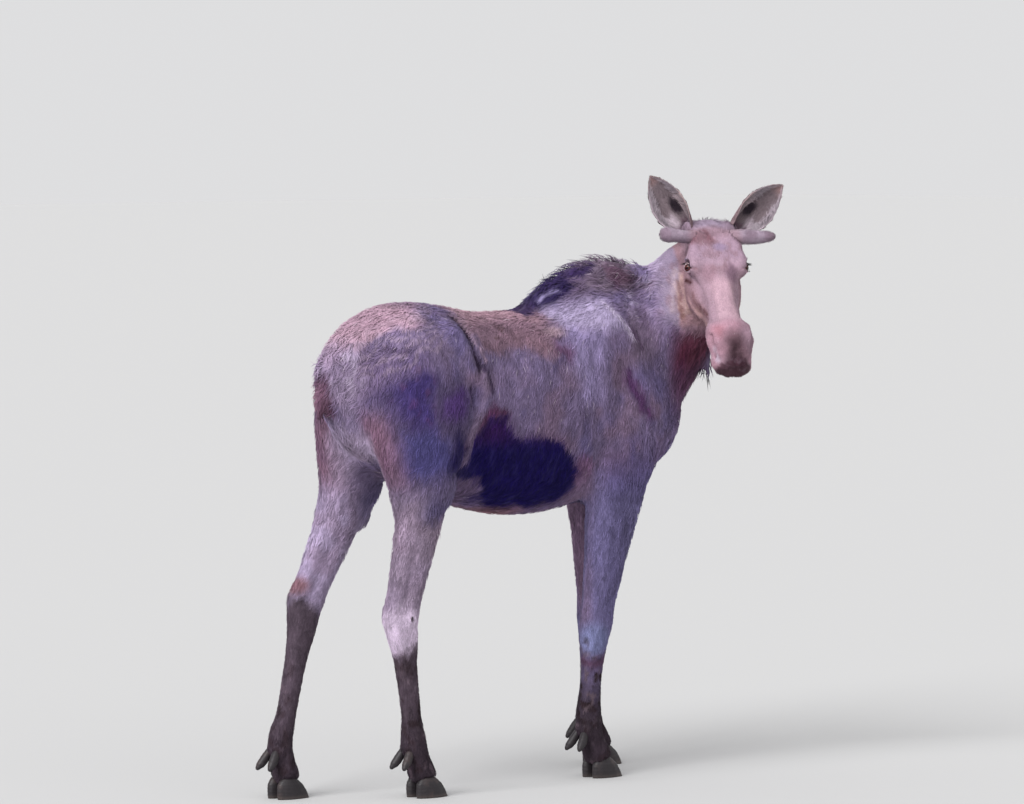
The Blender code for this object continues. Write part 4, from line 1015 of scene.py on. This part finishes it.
def spikes(name, roots, normals, ways, size, colours, marks, look, slot):
    """Solid hairy tufts: each a three-sided spike from a sunk root through a bend to its tip.

    size holds length, width and rise; marks the root's place on the unwrap of what it grows from.
    """
    n = len(roots)
    length, width, rise = size[:, 0:1], size[:, 1:2], size[:, 2:3]
    across = np.cross(normals, ways)
    sway = random.normal(0, 0.10, (n, 1))
    bend = random.normal(0, 0.16, (n, 1))
    corners, bulge = [], []
    for share, lift, aside, stout in ((0.0, -0.10, 0.0, 0.62), (0.42, 0.85, 0.25, 1.0)):
        centre = roots + ways * length * share + normals * length * rise * lift + across * length * sway * aside
        for turn in (90, 215, 325):
            c, s = math.cos(math.radians(turn)), math.sin(math.radians(turn))
            corners.append(centre + (across * c + normals * s * 0.55) * width * stout * 0.5)
            bulge.append(normals + 0.35 * (across * c + normals * s))
    tip = roots + ways * length + normals * length * rise * random.uniform(0.55, 1.25, (n, 1))
    corners.append(tip + across * length * (sway + bend))
    bulge.append(normals + 0.2 * ways)
    points = np.stack(corners, axis=1).reshape(-1, 3)
    one = [(2, 1, 0), (0, 1, 4, 3), (1, 2, 5, 4), (2, 0, 3, 5), (3, 4, 6), (4, 5, 6), (5, 3, 6)]
    loops = np.array([v for face in one for v in face])
    sizes = np.array([len(face) for face in one])
    mesh = bpy.data.meshes.new(name)
    mesh.vertices.add(len(points))
    mesh.vertices.foreach_set("co", points.ravel())
    mesh.loops.add(n * len(loops))
    mesh.loops.foreach_set("vertex_index", (np.arange(n)[:, None] * len(corners) + loops).ravel())
    mesh.polygons.add(n * len(one))
    starts = np.concatenate([[0], np.cumsum(sizes)[:-1]])
    mesh.polygons.foreach_set("loop_start", (np.arange(n)[:, None] * len(loops) + starts).ravel())
    mesh.polygons.foreach_set("loop_total", np.tile(sizes, n))
    mesh.update(calc_edges=True)
    spots = np.array([(-1, -1), (0, -1), (1, -1), (-1, 0), (0, 0), (1, 0), (0, 1)]) * TUFT_MARK
    layer = mesh.uv_layers.new(name="OFBake")
    layer.data.foreach_set("uv", (marks[:, None, :] + spots[loops]).ravel())
    # painted shade along each tuft: the sunk root darkest, the underside of the bend darker than its top, and a painted
    # highlight at the tip
    shade = np.array([0.70, 0.70, 0.70, 0.98, 0.92, 0.92, 1.15])
    made = placed(bpy.data.objects.new(name, mesh))
    dressed(made, (colours[:, None, :] * shade[None, :, None]).reshape(-1, 3), look)
    mesh.normals_split_custom_set_from_vertices(unit(np.stack(bulge, axis=1).reshape(-1, 3)).tolist())
    return made


def tousled(ways, normals, places, wild):
    """The ways turned in the surface, together over locks of hair and a little each on its own."""
    turn = wild * (1.6 * noise(places, 0.035, 81) + 0.9 * noise(places, 0.011, 82) + random.normal(0, 0.45, len(wild)))
    across = np.cross(normals, ways)
    return ways * np.cos(turn)[:, None] + across * np.sin(turn)[:, None]


def grow_coat():
    """Sows tufts over the skin, thickest where they are smallest, and files them in pieces."""
    mesh = skin.data
    mesh.calc_loop_triangles()
    corners = got(mesh.loop_triangles, "vertices", 3, int)
    uv = got(mesh.uv_layers["OFBake"].data, "uv", 2)[got(mesh.loop_triangles, "loops", 3, int)]
    area = got(mesh.loop_triangles, "area")
    p, h = skin_points - BODY, to_head(skin_points)
    normals = normals_of(skin)
    ways = lie_of(p, h, shares)
    table = fields(p, h, shares)
    wings = near(mirrored(unturned(h)), NOSTRIL, 0.009)
    bare = np.clip(wings * shares["head"] * 1.5, 0, 1)
    for side in (1, -1):
        centre, fore, rise, _ = eye_axes(side)
        r = h - centre
        close = np.linalg.norm(r, axis=1) < 0.045
        bare = np.maximum(bare, close * fade(0.0045, 0.0075, lid_distance(r @ fore, r @ rise)))
    bare = np.maximum(bare, fade(0.035, 0.045, p[:, 2]))
    want = area * ((1 - bare) / (table[:, 0] * table[:, 1]))[corners].mean(axis=1)
    chosen = random.choice(len(area), TUFTS, p=want / want.sum())
    share = random.dirichlet((1, 1, 1), TUFTS)

    def at(values):
        return (values[corners[chosen]] * share[:, :, None]).sum(axis=1)

    roots, up = at(skin_points), unit(at(normals))
    marks = (uv[chosen] * share[:, :, None]).sum(axis=1)
    size = at(table)
    along = tousled(flat(at(ways), up), up, roots, size[:, 3])
    size = size[:, :3] * random.uniform((0.65, 0.75, 0.6), (1.35, 1.25, 1.5), (TUFTS, 3))
    place_shares = {name: at(share_of[:, None])[:, 0] for name, share_of in shares.items()}
    seen = roots + 0.5 * size[:, 0:1] * along  # the part of a tuft that others don't cover
    colours = paint(seen - BODY, to_head(seen), place_shares)
    body = 1 - place_shares["head"]
    lock = sum(noise(roots + k * 0.011 * along, 0.010, 91) for k in (-2, -1, 0, 1, 2)) / 2.6
    light = np.exp(random.normal(0, 1, TUFTS) * (0.06 + 0.08 * body) + 0.30 * (0.3 + 0.7 * body) * lock)
    pale = (random.random(TUFTS) < 0.012 * (1 - place_shares["leg"])) & (colours.mean(axis=1) > 0.10)
    colours = colours * light[:, None]
    colours[pale] = colours[pale] * 0.6 + tone(206, 192, 204) * 0.4
    pieces = -(-TUFTS // PIECE_TUFTS)
    for k in range(pieces):
        pick = slice(k, None, pieces)
        spikes(f"coat_{k + 1}", roots[pick], up[pick], along[pick], size[pick], colours[pick], marks[pick], TUFT_LOOK,
               "trunk")


# ---------------------------------------------------------------- ears, antlers, eyes, feet

EAR_LENGTH = 0.225
# Each ear: which way it rises, which way it opens and its root, in the head's frame, the side of its inner edge,
# and how far its tip is bent across and its length drawn in
EARS = {
    "ear_left": ((-0.510, 0.785, 0.370), (0.72, -0.02, 0.66), (0.016, 0.084, -0.046), 1, (0.20, 1.0)),
    "ear_right": ((-0.620, -0.630, 0.480), (0.72, -0.30, 0.62), (0.016, -0.070, -0.050), -1, (-0.30, 0.95)),
}


def ear_point(t, s, lift):
    """A place on the ear at share t of its length and s across from -1 to 1, lift off the middle of its wall."""
    half = np.interp(t, (0, 0.15, 0.35, 0.55, 0.75, 0.9, 1), (0.026, 0.039, 0.055, 0.057, 0.043, 0.025, 0.006))
    roll = np.interp(t, (0, 0.3, 0.6, 1), (2.3, 1.45, 0.95, 0.5))
    radius = half / np.sin(np.minimum(roll, math.pi / 2))
    a = roll * s
    inner = radius - lift
    return np.column_stack([EAR_LENGTH * t, inner * np.sin(a), radius - inner * np.cos(a) - 0.3 * half])


def ear_marks(t, s):
    """Where a place on the ear lies on its unwrap, before it is moved to its corner."""
    return np.column_stack([0.04 + 0.20 * (s + 1), 0.04 + 0.42 * t])


def make_ear(name, corner):
    """One ear as a thin cup with a rolled rim, and the hair on it."""
    rows, steps = 30, 26
    upward, opens, root, medial, (bend, reach) = EARS[name]
    x = Vector(upward).normalized()
    y = Vector(opens).cross(x).normalized()
    axes = np.array((x, y, x.cross(y)))
    t, s = (g.ravel() for g in np.meshgrid(np.linspace(0, 1, rows), np.linspace(-1, 1, steps + 1), indexing="ij"))
    wall = 0.0022 * (1 - 0.45 * t) * (1 - 0.5 * np.abs(s) ** 4)
    fold = 0.0012 * np.sin(s * 9) * band(t, 0.10, 0.75, 0.10)

    def place(points):
        return from_head((points * (reach, 1, 1) + points[:, 0:1] ** 2 * (0, bend, 0)) @ axes + root)

    inner, outer = place(ear_point(t, s, wall + fold)), place(ear_point(t, s, -wall + fold * 0.5))
    count, across = len(t), steps + 1
    faces = []
    flat_uv = ear_marks(t, s) + corner
    for r in range(rows - 1):
        for k in range(steps):
            a = r * across + k
            quad = (a, a + 1, a + across + 1, a + across)
            faces += [quad, tuple(count + v for v in reversed(quad))]
    rim = [r * across for r in range(rows)] + [(rows - 1) * across + k for k in range(1, across)]
    rim += [r * across + steps for r in range(rows - 2, -1, -1)] + list(range(steps - 1, 0, -1))
    for a, b in zip(rim, rim[1:] + rim[:1]):
        faces.append((a, b, count + b, count + a))
    made = new_object(name, np.vstack([inner, outer]), faces)
    face_outward(made)
    layer = made.data.uv_layers.new(name="OFBake")
    both = np.vstack([flat_uv, flat_uv + (0.5, 0)])
    layer.data.foreach_set("uv", both[got(made.data.loops, "vertex_index", kind=int)].ravel())

    def inside_colour(t, s):
        c = np.tile(tone(118, 104, 110), (len(t), 1))
        grain = 0.25 * noise(np.column_stack([t * 6, s * 9, t * 0]), 1.0, 23)
        c = laid(c, 0.7 * step(0.55, 0.80, np.abs(s) + 0.3 * grain), (160, 146, 156))
        c = laid(c, 0.8 * step(0.80, 0.95, t), (140, 112, 112))
        dark = spot(np.column_stack([t + 0.1 * grain, s * medial]), (0.41, 0.26), (0.14, 0.27), 0.4)
        c = laid(c, 0.9 * dark, (20, 6, 26))
        c = laid(c, 0.8 * fade(0.28, 0.42, t + 0.3 * grain) * step(-0.1, 0.3, -s * medial), (200, 184, 196))
        c = laid(c, 0.8 * step(0.66, 0.86, s * medial) * fade(0.5, 0.7, t), (200, 174, 174))
        return laid(c, 0.8 * fade(0.10, 0.22, t + 0.3 * grain), (92, 66, 82))

    def outside_colour(t, s):
        c = np.tile(tone(128, 106, 112), (len(t), 1))
        return laid(c, 0.6 * step(0.7, 0.95, t), (150, 118, 116))

    dressed(made, np.vstack([inside_colour(t, s), outside_colour(t, s)]), SKIN_LOOK)
    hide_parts(name)
    # hair: outside it lies along the ear; inside it springs from the floor of the cup, longest at the edges
    sown = []
    many = EAR_TUFTS
    for side in (1, -1):
        tt, ss = random.uniform(0.03, 0.985, many), random.uniform(-0.99, 0.99, many)

        def grid(a, b):
            return place(ear_point(a, b, side * 0.0018 * (1 - 0.45 * a)))

        here = grid(tt, ss)
        ahead = grid(np.minimum(tt + 0.02, 1.0), ss) - grid(np.maximum(tt - 0.02, 0.0), ss)
        beside = grid(tt, np.minimum(ss + 0.05, 1.0)) - grid(tt, np.maximum(ss - 0.05, -1.0))
        normal = unit(np.cross(ahead, beside)) * side
        edge = step(0.55, 0.95, np.abs(ss))
        normal *= np.sign((normal * (place(ear_point(tt, ss, side * 0.004)) - here)).sum(axis=1))[:, None]
        inward = unit(-beside * np.sign(ss)[:, None])
        way = unit(ahead) + (inward * edge[:, None] * 1.3 if side > 0 else 0)
        way = tousled(flat(way, normal), normal, here, np.full(many, 0.20 + 0.10 * (side > 0)))
        long = (0.016 + 0.026 * edge * band(tt, 0.05, 0.65, 0.12)) if side > 0 else np.full(many, 0.015)
        long = long * (1 - 0.4 * step(0.75, 1.0, tt)) * random.uniform(0.6, 1.3, many)
        rise = np.where(edge > 0.3, 0.30, 0.20) if side > 0 else np.full(many, 0.10)
        shown = np.minimum(tt + 0.45 * long / EAR_LENGTH, 1)
        colours = inside_colour(shown, ss) if side > 0 else outside_colour(shown, ss)
        colours = laid(colours, edge * 0.6 * (side > 0), (172, 160, 170)) * random.uniform(0.75, 1.3, (many, 1))
        marks = ear_marks(tt, ss) + (0.5 * (side < 0), 0) + corner
        size = np.column_stack([long, np.full(many, 0.0017), rise])
        sown.append((here, normal, way, size, colours, marks))
    return [np.concatenate(parts) for parts in zip(*sown)]


def tube(name, rows, ring, count):
    """A round-ended tube about a smooth line through rows of x, y, z and radius in the head's frame."""
    read = smooth_rows(rows, count)
    turns = np.arange(ring) * math.tau / ring
    points, faces = [], []
    for k, row in enumerate(read):
        run = unit((read[min(k + 1, count - 1)] - read[max(k - 1, 0)])[:3])
        a = unit(np.cross(run, (1.0, 0.0, 0.2)))
        b = np.cross(run, a)
        points.append(row[:3] + row[3] * (np.cos(turns)[:, None] * a + np.sin(turns)[:, None] * b))
    for r in range(count - 1):
        for k in range(ring):
            n = (k + 1) % ring
            faces.append((r * ring + k, r * ring + n, (r + 1) * ring + n, (r + 1) * ring + k))
    points = np.vstack(points)
    faces += [tuple(reversed(range(ring))), tuple(range((count - 1) * ring, count * ring))]
    return new_object(name, from_head(points), faces)


def make_antler(name, side):
    """A stub in velvet, blunt and a little knobbly."""
    if side < 0:
        rows = ((0.086, 0.060, -0.010, 0.024), (0.090, 0.085, -0.004, 0.0205), (0.090, 0.130, 0.002, 0.0205),
                (0.088, 0.156, 0.004, 0.0235), (0.086, 0.172, 0.004, 0.0195), (0.086, 0.180, 0.004, 0.0110),
                (0.086, 0.1825, 0.004, 0.0030))
    else:
        rows = ((0.086, 0.060, -0.010, 0.026), (0.090, 0.085, -0.002, 0.0245), (0.094, 0.130, 0.002, 0.0225),
                (0.096, 0.165, 0.006, 0.0195), (0.098, 0.188, 0.010, 0.0145), (0.099, 0.198, 0.012, 0.0085),
                (0.099, 0.2015, 0.012, 0.0025))
    made = tube(name, [(x, side * y, z, r) for x, y, z, r in rows], ring=40, count=60)
    points = points_of(made)
    normals = normals_of(made)
    out = (to_head(points) - np.array((0.09, 0, 0)))[:, 1] * side
    normals = unit(normals * np.sign((normals * (points - points.mean(axis=0))).sum(axis=1))[:, None])
    points = points + normals * (0.0009 * layered(points, 0.016, 13) + 0.0005 * noise(points, 0.004, 14))[:, None]
    set_points(made, points)
    face_outward(made)
    c = np.tile(tone(138, 118, 134), (len(points), 1))
    c = laid(c, 0.6 * step(-0.2, 0.5, layered(points, 0.03, 15)), (162, 146, 162))
    c = laid(c, 0.6 * fade(0.07, 0.10, out), (150, 118, 128))
    c = laid(c, 0.5 * step(0.165, 0.19, out), (110, 88, 100))
    dressed(made, c, VELVET_LOOK)
    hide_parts(name)
    many = FUZZ_TUFTS
    pick = random.integers(0, len(points), many)
    normals = normals_of(made)[pick]
    way = flat(np.tile(side * HEAD_AXES[:, 1], (many, 1)) + random.normal(0, 0.3, (many, 3)), normals)
    size = np.column_stack([random.uniform(0.004, 0.008, many), np.full(many, 0.0012), np.full(many, 0.35)])
    marks = np.column_stack([0.5 + 0.2 * side + 0.18 * random.uniform(-1, 1, many), random.uniform(0.52, 0.96, many)])
    return [points[pick], normals, way, size, c[pick] * random.uniform(0.8, 1.3, (many, 1)), marks]


def make_eye(name, side):
    """A wet ball: long pupil, brown iris, and a little white at the corners."""
    bm = bmesh.new()
    bmesh.ops.create_uvsphere(bm, u_segments=64, v_segments=48, radius=EYE_RADIUS - 0.0003)
    mesh = bpy.data.meshes.new(name)
    bm.to_mesh(mesh)
    bm.free()
    made = placed(bpy.data.objects.new(name, mesh))
    local = points_of(made)
    gaze = unit(np.array((0.56, side * 0.70, 0.44)))
    level = unit(np.cross(gaze, (-0.7, 0, 0.7)))
    upright = np.cross(level, gaze)
    r = unit(local)
    a, b, c = r @ level, r @ upright, r @ gaze
    angle = np.arccos(np.clip(c, -1, 1))
    bulge = 0.0010 * np.exp(-((angle / 0.55) ** 2))
    colours = np.tile(tone(208, 178, 184), (len(r), 1))
    colours = laid(colours, fade(0.62, 0.68, angle), (44, 20, 22))
    streak = 0.3 * noise(np.column_stack([np.arctan2(a, b) * 9, angle * 0, angle * 0]), 1.0, 17)
    colours = laid(colours, (0.75 + streak) * fade(0.52, 0.60, angle), (92, 44, 40))
    pupil = np.sqrt((a / 0.32) ** 2 + (b / 0.18) ** 2) * (1 + 2 * (c < 0))
    colours = laid(colours, fade(0.85, 1.1, pupil), (5, 4, 6))
    set_points(made, from_head(local * (1 + bulge / EYE_RADIUS)[:, None] + EYE * (1, side, 1)))
    dressed(made, colours, EYE_LOOK)
    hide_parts(name)


def lashes(side):
    """Dark lashes along the upper lid, and short ones below."""
    centre, fore, rise, out = eye_axes(side)
    many, word = LASHES, "left" if side > 0 else "right"
    a = random.uniform(-0.0175, 0.0185, many)
    upper = random.random(many) < 0.72
    b = np.where(upper, 0.0150, -0.0122) * (1 - (a / 0.0215) ** 2) ** 0.75
    lift = np.sqrt(np.clip((EYE_RADIUS + 0.003) ** 2 - a**2 - b**2, 1e-6, None))
    roots = centre + a[:, None] * fore + b[:, None] * rise + lift[:, None] * out
    way = out + np.where(upper, 0.10, -0.45)[:, None] * rise + (a / 0.03)[:, None] * fore
    way = unit(way + random.normal(0, 0.10, (many, 3)))
    normal = flat(np.tile(rise, (many, 1)), way)
    long = np.where(upper, 0.013, 0.005) * random.uniform(0.7, 1.2, many)
    size = np.column_stack([long, np.full(many, 0.0010), np.where(upper, -0.22, 0.10)])
    colours = np.tile(tone(26, 18, 22), (many, 1))
    marks = np.column_stack([0.3 + 0.4 * (side > 0) + a * 8, 0.3 + b * 8])
    spikes(f"lashes_{word}", from_head(roots), normal @ HEAD_AXES.T, way @ HEAD_AXES.T, size, colours, marks, LASH_LOOK,
           f"eye_{word}")


def make_foot(name):
    """A hoof or dewclaw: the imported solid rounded, ringed by growth and worn at its edge."""
    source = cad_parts[name]
    copy = new_object("refining", points_of(source), [list(f.vertices) for f in source.data.polygons])
    copy.name = f"horn_{name}"
    made = remeshed(copy, HORN_GRAIN)
    ring = neighbours(made)
    points = points_of(made)
    sole = points[:, 2] < 0.003
    points = evened(points, ring, 6)
    if name.startswith("dewclaw"):  # its root reaches into the leg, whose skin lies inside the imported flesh
        tip, top = points[points[:, 2].argmin()], points[points[:, 2].argmax()]
        along = (points - tip) @ (top - tip) / ((top - tip) @ (top - tip))
        points = points + 0.38 * step(0.45, 1.0, along)[:, None] * (top - tip)
    set_points(made, points)
    normals = normals_of(made)
    waves = np.sin(points[:, 2] * math.tau / RING_GAP + 2 * noise(points, 0.03, 61))
    points = points + normals * (0.0003 * waves + 0.0003 * layered(points, 0.010, 62))[:, None]
    points[:, 2] = np.where(sole, 0.0002, np.maximum(points[:, 2], 0.0002))
    set_points(made, points)
    c = np.tile(tone(36, 31, 35), (len(points), 1))
    c = laid(c, 0.6 * step(0.1, 0.7, layered(points, 0.03, 63)), (62, 50, 50))
    c = laid(c, 0.4 * fade(0.004, 0.016, points[:, 2]), (84, 74, 70))
    dressed(made, c, HORN_LOOK)
    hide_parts(name)


# ---------------------------------------------------------------- stage


def lamp(name, place, angle, power):
    """A soft far light that shines from place towards the middle of the floor."""
    data = bpy.data.lights.new(name, "SUN")
    data.angle = angle
    data.energy = power
    made = bpy.data.objects.new(name, data)
    made.location = place
    made.rotation_euler = (-Vector(place)).to_track_quat("-Z", "Y").to_euler()
    placed(made)


def set_stage():
    """A pale floor, an even sky and two soft lights."""
    floor = new_object("floor", [(-90, -90, 0), (90, -90, 0), (90, 90, 0), (-90, 90, 0)], [(0, 1, 2, 3)])
    look, _, shader = material("pale_floor", 0.9, specular=0.1)
    shader.inputs["Base Color"].default_value = (0.537, 0.536, 0.536, 1)
    floor.data.materials.append(look)
    world = bpy.data.worlds.new("studio")
    bpy.context.scene.world = world
    world.use_nodes = True
    sky = world.node_tree.nodes["Background"].inputs
    sky["Color"].default_value = (0.78, 0.78, 0.79, 1)
    sky["Strength"].default_value = 0.94
    lamp("key", (-7.7, -1.8, 6.2), angle=0.6, power=3.0)
    lamp("fill", (-3.0, -8.0, 4.0), angle=1.2, power=0.30)


def set_camera():
    """The photograph's view, in the body's own coordinates."""
    yaw, rise, away = math.radians(42), math.radians(3), 18.0
    across = 0.103
    target = Vector((across * math.cos(yaw), -across * math.sin(yaw), 1.235)) + Vector(BODY)
    back = Vector((-math.sin(yaw) * math.cos(rise), -math.cos(yaw) * math.cos(rise), math.sin(rise)))
    data = bpy.data.cameras.new("camera")
    data.sensor_width = 36
    data.lens = 196.2
    data.clip_end = 400
    made = bpy.data.objects.new("camera", data)
    made.location = target + back * away
    made.rotation_euler = (-back).to_track_quat("-Z", "Y").to_euler()
    placed(made)
    bpy.context.scene.camera = made
    bpy.context.scene.view_settings.view_transform = "Standard"


skin, shares = make_skin()
unwrap(skin)
skin_points = points_of(skin)
skin_colours = paint(skin_points - BODY, to_head(skin_points), shares)
dressed(skin, skin_colours, SKIN_LOOK)
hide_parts(*FLESH)
grow_coat()
for ear_name, corner in (("ear_left", (0.0, 0.0)), ("ear_right", (0.0, 0.5))):
    spikes(f"hair_{ear_name}", *make_ear(ear_name, np.array(corner)), TUFT_LOOK, ear_name)
for side, word in ((1, "left"), (-1, "right")):
    spikes(f"fuzz_antler_{word}", *make_antler(f"antler_{word}", side), TUFT_LOOK, f"antler_{word}")
    make_eye(f"eye_{word}", side)
    lashes(side)
for foot in sorted(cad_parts):
    if foot.startswith(("hoof", "dewclaw")):
        make_foot(foot)

set_stage()
set_camera()
